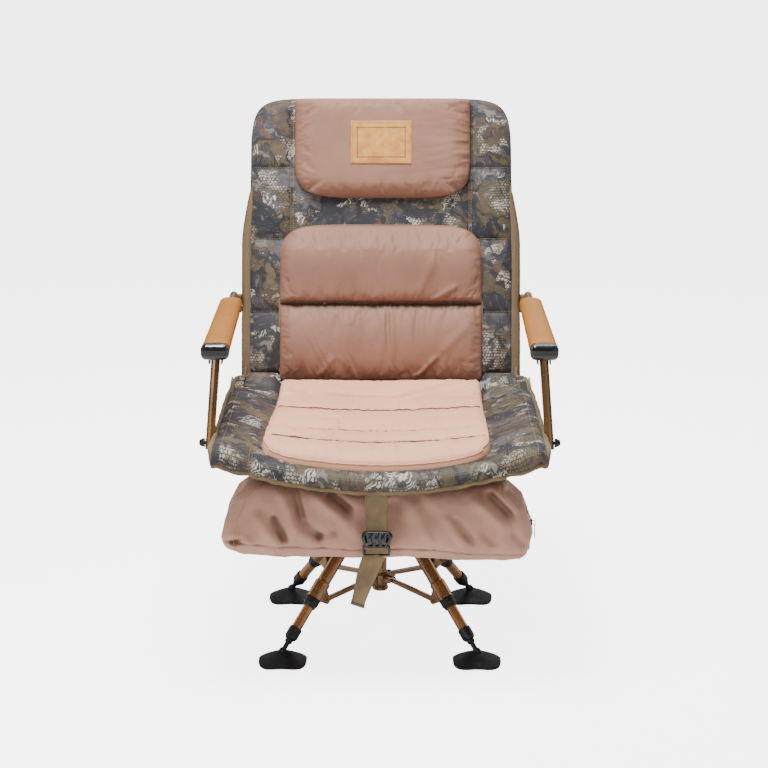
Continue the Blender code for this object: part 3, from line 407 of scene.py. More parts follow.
def stitches(name, runs, body, material, pitch=0.0042, length=0.003, radius=0.00042):
    """Sewn thread: one small bead per stitch along each run of (points, normals)."""
    verts, faces = [], []
    sides = 6
    turns = ring_angles(sides)[:, None]
    bead = [face[::-1] for face in tube_faces(len(BEAD_RINGS), sides)]
    for points, normals in runs:
        pts = resample(points, pitch)
        picks = np.linspace(0, len(normals) - 1, len(pts)).round().astype(int)
        ahead = unit(np.gradient(pts, axis=0))
        for point, direction, normal in zip(pts, ahead, np.asarray(normals)[picks]):
            ring = np.cross(direction, normal) * np.cos(turns) + normal * np.sin(turns)
            start = len(verts)
            for along, size, lift in BEAD_RINGS:
                verts.extend(point + direction * along * length + (ring * size + normal * lift) * radius)
            faces += [[start + index for index in face] for face in bead]
    return finish_mesh(name, verts, faces, None, body, (material, None))


def seam_shadow_cord(name, runs, body, width=0.0016):
    """Painted shadow: a dark sunk cord that stands for the shade along a sewn channel; each run is (points,
    normals).
    """
    profile = oval(width, width * 0.6, 6)
    return [sweep(f"{name}_{tag}", *run, profile, body, SEAM_SHADE) for tag, run in enumerate(runs)]


def grid_normals(points):
    """Unit normals of a grid of points."""
    return unit(np.cross(np.gradient(points, axis=0), np.gradient(points, axis=1)))


def squash_under_back(piece):
    """Give a piece its own copy of its mesh."""
    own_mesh(piece)


def inflate(obj, held, pressure, slack, cap, frames=20):
    """Stuff a piece by cloth simulation: held is how firmly each vertex stays (0 to 1)."""
    before = vertex_points(obj.data)
    group = obj.vertex_groups.new(name="held")
    for index, weight in enumerate(held):
        if weight > 0:
            group.add([index], float(weight), "REPLACE")
    modifier = obj.modifiers.new("stuffing", "CLOTH")
    settings = modifier.settings
    settings.quality = 6
    settings.mass = 0.15
    settings.tension_stiffness = 18
    settings.compression_stiffness = 12
    settings.shear_stiffness = 6
    settings.bending_stiffness = 0.35
    settings.use_pressure = True
    settings.uniform_pressure_force = pressure
    settings.shrink_min = -slack
    settings.vertex_group_mass = "held"
    settings.pin_stiffness = 1
    settings.effector_weights.gravity = 0
    modifier.collision_settings.use_collision = False
    modifier.point_cache.frame_start = 1
    modifier.point_cache.frame_end = frames
    scene = bpy.context.scene
    for number in range(1, frames + 1):
        scene.frame_set(number)
    graph = bpy.context.evaluated_depsgraph_get()
    shift = vertex_points(obj.evaluated_get(graph).data) - before
    size = np.linalg.norm(shift, axis=1, keepdims=True)
    shift *= cap * np.tanh(size / cap) / np.maximum(size, 1e-9)
    obj.modifiers.clear()
    obj.vertex_groups.clear()
    obj.data.vertices.foreach_set("co", (before + shift).ravel())
    obj.data.update()
    scene.frame_set(1)


def stuff(obj, edge, cap=0.004, seam=np.inf, pressure=2.5, slack=0.03):
    """Inflate a cushion made by shell(), holding its rear, its edge and its seams."""
    rows, cols = edge.shape
    held = np.maximum(1 - ease(edge / 0.012), 1 - ease(np.abs(seam) / 0.005))
    weights = np.concatenate((held.ravel(), np.ones((rows - 2) * (cols - 2))))
    inflate(obj, weights, pressure, slack, cap)


# ---------------------------------------------------------------- materials

def srgb(red, green, blue):
    """Linear colour from 0-255 display values."""
    parts = np.array((red, green, blue)) / 255
    linear = np.where(parts <= 0.04045, parts / 12.92, ((parts + 0.055) / 1.055) ** 2.4)
    return (*linear.tolist(), 1.0)


def scaled(colour, share, lift=0.0):
    """A colour made darker or lighter."""
    return (*(min(1.0, part * share + lift) for part in colour[:3]), 1.0)


class Net:
    """A material's node tree, with short calls to add and join nodes."""

    def __init__(self, name):
        self.material = bpy.data.materials.new(name)
        self.material.use_nodes = True
        self.tree = self.material.node_tree
        self.tree.nodes.clear()
        self.shader = self.node("BsdfPrincipled")
        self.put(self.node("OutputMaterial").inputs[0], self.shader.outputs[0])

    def put(self, socket, value):
        """Join a socket to another, or set its value."""
        if isinstance(value, bpy.types.NodeSocket):
            self.tree.links.new(value, socket)
        elif value is not None:
            socket.default_value = value

    def node(self, kind, inputs=(), **props):
        """Add a node, set its properties, then its inputs by number or name."""
        node = self.tree.nodes.new("ShaderNode" + kind)
        for key, value in props.items():
            setattr(node, key, value)
        for key, value in dict(inputs).items():
            self.put(node.inputs[key], value)
        return node

    def math(self, operation, a, b=None):
        return self.node("Math", {0: a, 1: b}, operation=operation).outputs[0]

    def times(self, a, b):
        return self.math("MULTIPLY", a, b)

    def plus(self, a, b):
        return self.math("ADD", a, b)

    def vector(self, operation, a, b):
        return self.node("VectorMath", {0: a, 1: b}, operation=operation).outputs[0]

    def cloth(self):
        """Metric coordinates on the cloth."""
        return self.node("Attribute", attribute_name="cloth").outputs["Vector"]

    def position(self):
        """Coordinates of the object in metres."""
        return self.node("TexCoord").outputs["Object"]

    def mapping(self, vector, scale=(1, 1, 1), degrees=0.0, shift=(0, 0, 0)):
        """Shift, turn about the third axis and scale coordinates."""
        turn = (0, 0, math.radians(degrees))
        inputs = {"Vector": vector, "Scale": scale, "Rotation": turn, "Location": shift}
        return self.node("Mapping", inputs).outputs[0]

    def noise(self, vector, scale, detail=2.0, rough=0.5, output="Fac"):
        inputs = {"Vector": vector, "Scale": scale, "Detail": detail, "Roughness": rough}
        return self.node("TexNoise", inputs).outputs[output]

    def cells(self, vector, scale, **props):
        """Broken-up mosaic."""
        return self.node("TexVoronoi", {"Vector": self.mapping(vector, scale), "Scale": 1.0}, **props)

    def pick(self, cells, channel, stops):
        """A flat colour for each cell, from stops of (place, red, green, blue)."""
        value = self.node("SeparateColor", {0: cells.outputs["Color"]}).outputs[channel]
        node = self.node("ValToRGB", {0: value})
        ramp = node.color_ramp
        ramp.interpolation = "CONSTANT"
        while len(ramp.elements) < len(stops):
            ramp.elements.new(0.5)
        for element, (place, *colour) in zip(ramp.elements, stops):
            element.position = place
            element.color = srgb(*colour)
        return node.outputs[0]

    def axes(self, vector):
        return self.node("SeparateXYZ", {0: vector}).outputs

    def band(self, value, low, high):
        """0 below low, 1 above high, smooth between (low may be above high)."""
        inputs = {0: value, 1: low, 2: high, 3: 0.0, 4: 1.0}
        return self.node("MapRange", inputs, interpolation_type="SMOOTHSTEP").outputs[0]

    def mix(self, factor, a, b):
        return self.node("Mix", {0: factor, 6: a, 7: b}, data_type="RGBA").outputs[2]

    def tint(self, colour, other, value, low, high, amount):
        """Bring in another colour where a value goes from low to high."""
        return self.mix(self.times(self.band(value, low, high), amount), colour, other)

    def bump(self, height, strength, distance, normal=None):
        inputs = {"Height": height, "Strength": strength, "Distance": distance, "Normal": normal}
        return self.node("Bump", inputs).outputs[0]

    def finish(self, **inputs):
        for key, value in inputs.items():
            self.put(self.shader.inputs[key.replace("_", " ")], value)
        return self.material


def weave(net, pitch, amount):
    """Bump normal of a plain weave with a little fuzz, and its threads."""
    coords = net.cloth()
    warp, weft = [net.math("SINE", net.times(axis, 2 * math.pi / pitch)) for axis in net.axes(coords)[:2]]
    threads = net.times(warp, weft)
    fuzz = net.noise(coords, 2600.0)
    height = net.plus(net.times(threads, 0.5), fuzz)
    soft = net.bump(net.noise(coords, 60.0, 3.0), 0.25, 0.0015)
    return net.bump(height, amount, 0.00025, soft), threads


def painted_crease_shade(net, colour, shade, strength):
    """Painted shade: darken a cloth's colour in its seams, channels and creases, where ambient occlusion
    finds them.
    """
    air = net.node("AmbientOcclusion", {"Distance": 0.022}, samples=12, only_local=True)
    return net.tint(colour, shade, air.outputs["AO"], 0.97, 0.55, strength)


def plain_cloth(name, light, dark, pitch=0.0007, amount=0.35, rough=0.62, sheen=0.08):
    """Woven cloth in one colour that varies a little, with painted shade in its creases."""
    net = Net(name)
    light, dark = srgb(*light), srgb(*dark)
    normal, threads = weave(net, pitch, amount)
    coords = net.cloth()
    patch = net.noise(coords, 9.0, 4.0, 0.55)
    grain, cross = [net.times(net.noise(net.mapping(coords, scale), 1.0), 0.5)
                    for scale in ((900, 60, 1), (60, 900, 1))]
    tone = net.plus(grain, cross)
    base = net.mix(net.band(patch, 0.3, 0.7), dark, light)
    base = net.tint(base, light, tone, 0.35, 0.65, 0.30)
    base = net.tint(base, dark, threads, -0.4, -1.0, 0.18)
    # Painted shade in the cloth's seams, channels and creases.
    base = painted_crease_shade(net, base, scaled(dark, 0.3), 0.85)
    return net.finish(Base_Color=base, Roughness=net.plus(rough - 0.08, net.times(tone, 0.16)),
                      Normal=normal, Sheen_Weight=sheen, Sheen_Roughness=0.45, Sheen_Tint=light)


def camo_cloth(name, shift, lit_share):
    """Printed cloth with broken patches, scale nets, feathery streaks and cracks, with painted shade in its
    creases and over the whole print.
    """
    net = Net(name)
    normal, _ = weave(net, 0.0008, 0.30)
    coords = net.mapping(net.cloth(), shift=shift)
    warped = coords
    for scale, rough, reach in ((13.0, 0.6, 0.075), (60.0, 0.65, 0.016)):
        field = net.vector("SUBTRACT", net.noise(coords, scale, 3.0, rough, "Color"), (0.5, 0.5, 0.5))
        warped = net.vector("ADD", warped, net.vector("MULTIPLY", field, (reach, reach, 0)))
    flat = net.mapping(warped, (1, 1, 0), 28)

    colour = net.pick(net.cells(flat, (13, 24, 1)), 0, (
        (0, 27, 28, 36), (0.17, 56, 54, 62), (0.31, 74, 64, 42), (0.43, 38, 38, 46),
        (0.57, 70, 50, 38), (0.67, 82, 77, 78), (0.77, 92, 80, 56), (0.87, 29, 29, 37)))
    bits = net.pick(net.cells(flat, (46, 80, 1)), 1, (
        (0, 22, 22, 27), (0.2, 82, 70, 46), (0.4, 54, 52, 60), (0.6, 88, 60, 42),
        (0.75, 33, 33, 40), (0.88, 122, 112, 100)))
    colour = net.tint(colour, bits, net.noise(coords, 24.0, 3.0, 0.6), 0.50, 0.55, 0.85)

    strokes, combed = [net.noise(net.mapping(warped, scale, degrees), 1.0, 3.0, 0.6)
                       for scale, degrees in (((46, 330, 1), -32), ((330, 46, 1), -20))]
    side = net.band(net.noise(coords, 9.0, 1.0), 0.47, 0.53)
    streak = net.node("Mix", {0: side, 2: strokes, 3: combed}).outputs[0]
    colour = net.tint(colour, srgb(128, 116, 98), streak, 0.57, 0.68, 0.60)
    colour = net.tint(colour, srgb(20, 20, 26), streak, 0.46, 0.36, 0.75)
    colour = scale_net(net, coords, warped, colour)
    colour = feather_hatch(net, warped, colour)

    crack = net.cells(flat, (13, 24, 1), feature="DISTANCE_TO_EDGE").outputs["Distance"]
    line = net.times(net.band(crack, 0.060, 0.012), net.band(net.noise(coords, 30.0), 0.42, 0.55))
    colour = net.mix(net.times(line, 0.9), colour, srgb(16, 16, 22))
    colour = net.tint(colour, srgb(120, 108, 96), net.noise(coords, 5.0, 4.0), 0.45, 0.75, 0.10)
    # Painted shade in the print's seams, channels and creases.
    colour = painted_crease_shade(net, colour, srgb(14, 13, 16), 0.80)
    # Painted shade: the whole print is darkened towards black, by its own amount for each copy.
    colour = net.mix(1 - lit_share, colour, srgb(12, 12, 16))
    return net.finish(Base_Color=colour, Roughness=0.66, Normal=normal, Sheen_Weight=0.06,
                      Sheen_Roughness=0.5)


def scale_net(net, coords, warped, colour):
    """Patches of pale scales in staggered rows, each outlined in dark."""
    pitch = 0.006
    drift = net.vector("MULTIPLY", net.noise(coords, 34.0, 2.0, 0.5, "Color"), (0.01, 0.01, 0))
    x, y, _ = net.axes(net.vector("ADD", coords, drift))
    row_at = net.math("DIVIDE", y, pitch * 0.86)
    col_at = net.plus(net.math("DIVIDE", x, pitch), net.times(net.math("FLOOR", row_at), 0.5))
    dx, dy = [net.math("SUBTRACT", net.math("FRACT", at), 0.5) for at in (col_at, row_at)]
    reach = net.math("SQRT", net.plus(net.times(dx, dx), net.times(dy, dy)))
    dot = net.band(reach, 0.52, 0.34)
    field = net.noise(net.mapping(warped, (17, 13, 1), shift=(3.1, 1.7, 0)), 1.0, 3.0, 0.55)
    mask = net.band(field, 0.545, 0.585)
    tint = net.mix(net.band(net.noise(coords, 16.0), 0.46, 0.60), srgb(98, 84, 58), srgb(180, 170, 154))
    speckle = net.band(net.noise(coords, 230.0), 0.66, 0.50)
    ground = net.mix(net.times(mask, 0.75), colour, srgb(34, 30, 26))
    return net.mix(net.times(net.times(dot, mask), speckle), ground, tint)


def feather_hatch(net, warped, colour):
    """White barbs laid on a slant in small ragged patches."""
    lines = net.node("TexWave", {"Vector": net.mapping(warped, degrees=38), "Scale": 62.0,
                                 "Distortion": 5.0, "Detail": 3.0, "Detail Scale": 2.0})
    strokes = net.band(lines.outputs["Fac"], 0.45, 0.70)
    turned = net.mapping(warped, (15, 26, 1), math.degrees(0.5), (8.3, 4.9, 0))
    mask = net.band(net.noise(turned, 1.0, 4.0, 0.6), 0.590, 0.630)
    return net.mix(net.times(strokes, mask), colour, srgb(196, 190, 182))


def webbing(name, light, dark):
    """Ribbed tape."""
    net = Net(name)
    light, dark = srgb(*light), srgb(*dark)
    x, y, _ = net.axes(net.cloth())
    rib = net.math("SINE", net.times(y, 2 * math.pi / 0.0011))
    cord = net.math("SINE", net.times(x, 2 * math.pi / 0.0022))
    height = net.plus(rib, net.times(cord, 0.6))
    base = net.mix(net.band(net.noise(net.cloth(), 22.0, 3.0), 0.3, 0.7), dark, light)
    base = net.tint(base, dark, height, 0.2, -1.4, 0.45)
    return net.finish(Base_Color=base, Roughness=0.72, Normal=net.bump(height, 0.5, 0.0003),
                      Sheen_Weight=0.2)


def leather(name, light, dark):
    """Suede-like patch leather with soft mottling."""
    net = Net(name)
    light, dark = srgb(*light), srgb(*dark)
    coords = net.cloth()
    patch = net.noise(coords, 45.0, 5.0, 0.65)
    pores = net.node("TexVoronoi", {"Vector": coords, "Scale": 900.0}).outputs["Distance"]
    base = net.mix(net.band(patch, 0.32, 0.68), dark, light)
    base = net.tint(base, dark, pores, 0.35, 0.05, 0.25)
    normal = net.bump(net.plus(patch, net.times(pores, 0.4)), 0.30, 0.0008)
    return net.finish(Base_Color=base, Roughness=0.70, Normal=normal)


def bronze(name, low, high):
    """Metallic brown paint with fine flake and light scuffs."""
    net = Net(name)
    coords = net.position()
    flake = net.noise(coords, 2400.0, 1.0)
    slow = net.noise(coords, 14.0)
    scuff = net.noise(net.mapping(coords, (60, 60, 60)), 1.0, 4.0, 0.6)
    base = net.mix(net.band(slow, 0.3, 0.7), srgb(*low), srgb(*high))
    base = net.tint(base, srgb(170, 120, 66), flake, 0.58, 0.78, 0.20)
    rough = net.plus(0.26, net.times(net.band(scuff, 0.55, 0.75), 0.14))
    return net.finish(Base_Color=base, Metallic=0.55, Roughness=rough,
                      Normal=net.bump(flake, 0.05, 0.0001), Coat_Weight=0.5, Coat_Roughness=0.12)


def moulded(name, colour, rough, grain=0.15, coat=0.0):
    """Moulded plastic or rubber with a fine grain."""
    net = Net(name)
    colour = srgb(*colour)
    coords = net.position()
    spark = net.noise(coords, 1500.0)
    slow = net.noise(coords, 45.0, 4.0, 0.6)
    base = net.tint(colour, scaled(colour, 1.7, 0.002), slow, 0.42, 0.72, 0.6)
    return net.finish(Base_Color=base, Roughness=net.plus(rough - 0.05, net.times(slow, 0.14)),
                      Normal=net.bump(spark, grain, 0.0002), Coat_Weight=coat,
                      Coat_Roughness=0.08, Specular_IOR_Level=0.35)


def metal(name, colour, rough):
    """Brushed metal."""
    net = Net(name)
    colour = srgb(*colour)
    brush = net.noise(net.mapping(net.position(), (300, 300, 4000)), 1.0)
    return net.finish(Base_Color=net.mix(brush, colour, scaled(colour, 0.6)), Metallic=0.9,
                      Roughness=net.plus(rough, net.times(brush, 0.15)))


# Copies of one camouflage print, each darkened by its own amount as painted shade: the seat's least and the
# sleeve's under the frame most.
CAMO_BACK = camo_cloth("camo_back", (0, 0, 0), 0.84), "camo_cloth"
CAMO_SEAT = camo_cloth("camo_seat", (1.37, 0.61, 0), 0.90), "camo_cloth"
CAMO_UNDER = camo_cloth("camo_under", (2.21, 1.13, 0), 0.80), "camo_cloth"
# Copies of one taupe cloth, set lighter or darker for how light falls on each piece: painted light and
# shade, with the seat pad's the lightest and the bag's lighter than the back's.
TAUPE = plain_cloth("taupe_cloth", (142, 101, 82), (130, 91, 73)), "taupe_cloth"
TAUPE_SEAT_PAINTED_LIGHT = plain_cloth("taupe_seat_cloth_painted_light", (234, 171, 139), (224, 161, 129)), "taupe_cloth"
TAUPE_BAG_PAINTED_LIGHT = (plain_cloth("taupe_bag_cloth_painted_light", (198, 150, 128), (184, 136, 115), 0.0009, 0.5, 0.7),
             "taupe_cloth")
SLEEVE = plain_cloth("arm_sleeve_cloth", (156, 98, 15), (143, 88, 11), 0.0006, 0.3, 0.6, 0.0), "arm_cloth"
KHAKI = webbing("khaki_webbing", (128, 104, 66), (98, 78, 47)), "khaki_webbing"
# Darker copy of the khaki for the sleeves on the back's sides: painted shade.
KHAKI_SIDE_SHADED = (plain_cloth("khaki_side_cloth_shaded", (108, 88, 59), (90, 72, 47), 0.0008, 0.45, 0.7),
              "khaki_webbing")
THREAD = webbing("khaki_thread", (150, 130, 90), (120, 100, 66))
TAUPE_THREAD = webbing("taupe_thread", (150, 104, 88), (120, 80, 66))
SEAM_SHADE = webbing("seam_shade", (104, 72, 60), (88, 60, 50)), "taupe_cloth"
LEATHER = leather("patch_leather", (206, 148, 70), (178, 118, 50)), "patch_leather"
# Dark binding for the label frame, the zip tape and the strap's hem; also the dark cord painted as shade
# round the back cover.
DARK_BIND_AND_SHADE = webbing("dark_binding_and_edge_shade", (36, 34, 40), (20, 19, 24))
BRONZE = bronze("bronze_paint", (104, 70, 31), (132, 92, 44))
BRONZE_INNER = bronze("bronze_inner_tube", (134, 86, 40), (158, 106, 54))
BLACK = moulded("black_plastic", (14, 14, 16), 0.40)
GLOSS = moulded("gloss_cap", (8, 8, 10), 0.20, 0.05, 0.8)
RUBBER = moulded("foot_rubber", (20, 22, 24), 0.55, 0.35)
STEEL = metal("zip_steel", (62, 59, 56), 0.42)
FINISHES = {"lock_collar": BLACK, "foot_socket": BLACK, "arm_knob": BLACK, "buckle": BLACK,
            "foot_pad": RUBBER, "arm_end_cap": GLOSS, "zipper": STEEL, "inner_leg": BRONZE_INNER}


def paint_frame():
    """Give each CAD node its finish."""
    for name, obj in frame["nodes"].items():
        finish = next((paint for start, paint in FINISHES.items() if name.startswith(start)), BRONZE)
        obj.data.materials.clear()
        obj.data.materials.append(finish)


# ---------------------------------------------------------------- back

def hoop_x(up):
    """Half width of the back hoop's centre line."""
    return HOOP_LOW_X + (HOOP_TOP_X - HOOP_LOW_X) * ease((up - 0.27) / 0.16)


def cover_half(up):
    """Half width of the padded back cover."""
    return 0.2605 - 0.0055 * ease((up - 0.28) / 0.14)


def back_cover_grids():
    """The padded cover on the back hoop: x, up, and its front and rear depths."""
    height = (BACK_HIGH - BACK_LOW) / 2
    a, b, in_side, in_end = cushion_grid(0.258, height, (0.003, 0.0028), 0.014, (9.5, 60), 7)
    up = BACK_LOW + height * (1 + b)
    half = cover_half(up)
    x = a * half
    edge = np.minimum(in_side * half, in_end * height)
    strip = np.abs(x) > SIDE_SEAM
    tall, cross = quilt(up, (BACK_LOW - 0.01, *CROSS_SEAMS[::-1], BACK_HIGH + 0.015))
    wide = dome((np.abs(x) - SIDE_SEAM) / (half + 0.006 - SIDE_SEAM))
    cross = np.where(strip, cross, 1)
    upright = np.abs(np.abs(x) - SIDE_SEAM)
    puff = np.where(strip, 0.0105 * wide * tall, 0.0055 * tuck(upright, 0.016)) * tuck(edge + 0.004, 0.01)
    puff -= 0.0016 * np.exp(-cross / 0.0022) + 0.0014 * np.exp(-upright / 0.0022)
    puff += 0.001 * soft_noise(x / 0.05, up / 0.05, 11) * tuck(upright, 0.006) * tuck(cross, 0.004)
    fold = gathers((x, cross, 0.010, 0.016, 0.003, 21, strip),
                   (up, upright, 0.012, 0.014, 0.0024, 22, tuck(cross, 0.004)),
                   (up, edge, 0.011, 0.014, 0.0024, 23, 1))
    wall = edge_round(edge, 0.0148)
    front = -(0.0142 + puff + fold) * wall
    hollow = 0.0075 * ease((edge - 0.02) / 0.06) + 0.0016 * soft_noise(x / 0.06, up / 0.06, 12)
    return x, up, front, 0.0135 * wall - hollow * ease(edge / 0.02)


def back_cover():
    """Padded camouflage cover drawn over the back hoop, with its stitches and a dark cord painted as shade
    round its edge.
    """
    x, up, front, rear = back_cover_grids()
    back_cushion("back_cover", "back_panel", x, front, up, rear, CAMO_BACK)
    surface = SurfaceLookup(x, up, front)
    runs = []
    for side in (-1, 1):
        ups = np.linspace(BACK_LOW + 0.008, BACK_HIGH - 0.006, 90)
        runs += [surface.run(side * (SIDE_SEAM + offset), ups) for offset in (-0.0022, 0.0022)]
        for seam in CROSS_SEAMS:
            xs = side * np.linspace(SIDE_SEAM + 0.004, cover_half(seam) - 0.006, 24)
            runs.append(surface.run(xs, seam + 0.0016))
    stitches("back_cover_stitches", runs, "back", THREAD)
    edge_shadow_cord()


class SurfaceLookup:
    """Finds the front of a piece on the back at any (x, up)."""

    def __init__(self, x, up, y):
        self.x, self.up, self.y = x.ravel(), up.ravel(), y.ravel()

    def depth(self, x, up):
        """Depth of the nearest grid points, weighted by closeness."""
        out = []
        for px, pu in zip(np.ravel(x), np.ravel(up)):
            far = (self.x - px) ** 2 + (self.up - pu) ** 2
            near = np.argpartition(far, 4)[:4]
            weight = 1 / (far[near] + 1e-10)
            out.append((self.y[near] * weight).sum() / weight.sum())
        return np.reshape(out, np.shape(x))

    def run(self, x, up):
        """Points and normals for a row of stitches."""
        x, up = np.broadcast_arrays(x, up)
        points = back_point(x, self.depth(x, up) - 0.0002, up)
        return points, np.tile(BACK_OUT, (len(points), 1))


def front_lookup(obj, shape):
    """Lookup of the present front of a cushion on the back."""
    x, y, z = np.moveaxis(front_grid(obj, shape) - tuple(joint_origin("back_fold")), -1, 0)
    c, s = math.cos(BACK_LEAN), math.sin(BACK_LEAN)
    return SurfaceLookup(x, y * s + z * c, y * c - z * s)


def edge_shadow_cord():
    """Thin dark cord round the back cover: painted shade along its outline."""
    height = (BACK_HIGH - BACK_LOW) / 2
    ramp = np.linspace(0, 1, 60, endpoint=False)
    path = []
    for end, power in ((1, 9.5), (-1, 60)):
        u = end * np.concatenate((np.full(60, 1), np.linspace(1, -1, 90), np.full(60, -1)))
        v = end * np.concatenate((ramp, np.full(90, 1), ramp[::-1]))
        a, b = round_square(u, v, power)
        up = BACK_LOW + height * (1 + b)
        path.append(back_point(a * (cover_half(up) + 0.0006), -0.0015, up))
    pts = resample(np.vstack(path), 0.005, closed=True)
    # Painted shade: a dark cord along the back cover's outline.
    sweep("back_edge_shadow_cord", pts, BACK_OUT, oval(0.003, 0.0034, 8), "back", (DARK_BIND_AND_SHADE, "camo_cloth"),
          closed=True)


def side_sleeve(side):
    """Khaki sleeve round the lower half of a back hoop tube."""
    ups = np.linspace(0.014, 0.375, 110)
    radius = 0.0125 - 0.0012 * bell(ups - 0.15, 0.016) + 0.00025 * soft_noise(ups / 0.016, 0, 31)
    ends = np.minimum(edge_round(ups - 0.0135, 0.004), edge_round(0.3765 - ups, 0.02))
    # The sleeve's cloth is the darker khaki copy, painted shade.
    sweep("back_sleeve_" + TAGS[side], back_point(side * hoop_x(ups), 0, ups), (1, 0, 0), oval(2, 2, 28),
          "back", KHAKI_SIDE_SHADED, scale=radius * (0.85 + 0.15 * ends))


def headrest():
    """Stuffed pillow across the top of the back."""
    low, high, half, middle = 0.3625, 0.559, 0.1725, 0.003
    height = (high - low) / 2
    a, b, in_side, in_end = cushion_grid(half, height, (0.0026, 0.0026), 0.02, (40, 4.6), 9)
    x = a * half
    up = low + height * (1 + b)
    side = in_side * half
    edge = np.minimum(side, in_end * height)
    swell = edge_round(side, 0.045) * edge_round(high - up, 0.01) * edge_round(up - low, 0.03)
    rise = 0.024 * swell + 0.0024 * edge_round(edge, 0.003)
    pulled = tuck(side, 0.004)
    fold = gathers((up, half - x, 0.0075, 0.026, 0.005, 41, pulled),
                   (up, half - x, 0.017, 0.050, 0.0022, 46, pulled),
                   (up, half + x, 0.008, 0.016, 0.0024, 42, pulled),
                   (x, up - low, 0.013, 0.018, 0.0014, 43, 1),
                   (x, high - up, 0.016, 0.018, 0.001, 44, 1))
    slack = 0.0014 * soft_noise(x / 0.12, up / 0.03, 45) * ease((x + 0.02) / 0.12)
    front = PAD_FACE - rise - (fold + slack) * edge_round(edge, 0.006)
    pillow = back_cushion("headrest_pillow_soft", "headrest_pillow", x + middle, front, up,
                          PAD_FACE + 0.004, TAUPE, (-middle, 0))
    stuff(pillow, edge)
    return front_lookup(pillow, edge.shape)


def frame_runs(lookup, left, right, low, high, inset):
    """Four straight rows of stitches, set in from a rectangle's sides."""
    left, right, low, high = left + inset, right - inset, low + inset, high - inset
    xs, ups = np.linspace(left, right, 30), np.linspace(low, high, 30)
    return [lookup.run(xs, low), lookup.run(right, ups), lookup.run(xs[::-1], high),
            lookup.run(left, ups[::-1])]


def label(surface):
    """Blank leather patch with two stitched frames, sewn to the headrest."""
    box = left, right, low, high = -0.059, 0.060, 0.427, 0.511
    xs, ups = [spread((b - a) / 2, 0.003, 0.0012, 4) * (b - a) / 2 + (a + b) / 2
               for a, b in ((left, right), (low, high))]
    x, up = np.meshgrid(xs, ups, indexing="ij")
    edge = np.min((x - left, right - x, up - low, high - up), axis=0)
    base = surface.depth(x, up)
    relief = bell(edge - 0.0034, 0.0012) - soft_noise(x / 0.03, up / 0.03, 51)
    front = base - 0.0008 - 0.0014 * edge_round(edge, 0.0012) + 0.0007 * relief
    back_cushion("label_patch_leather", "label_patch", x, front, up, base + 0.0012, LEATHER)
    lookup = SurfaceLookup(x, up, front)
    stitches("label_stitches", frame_runs(lookup, *box, 0.0034), "back", THREAD, 0.0034, 0.0024, 0.0004)
    stitches("label_frame", frame_runs(lookup, *box, 0.013), "back", DARK_BIND_AND_SHADE, 0.0042, 0.0034, 0.0006)


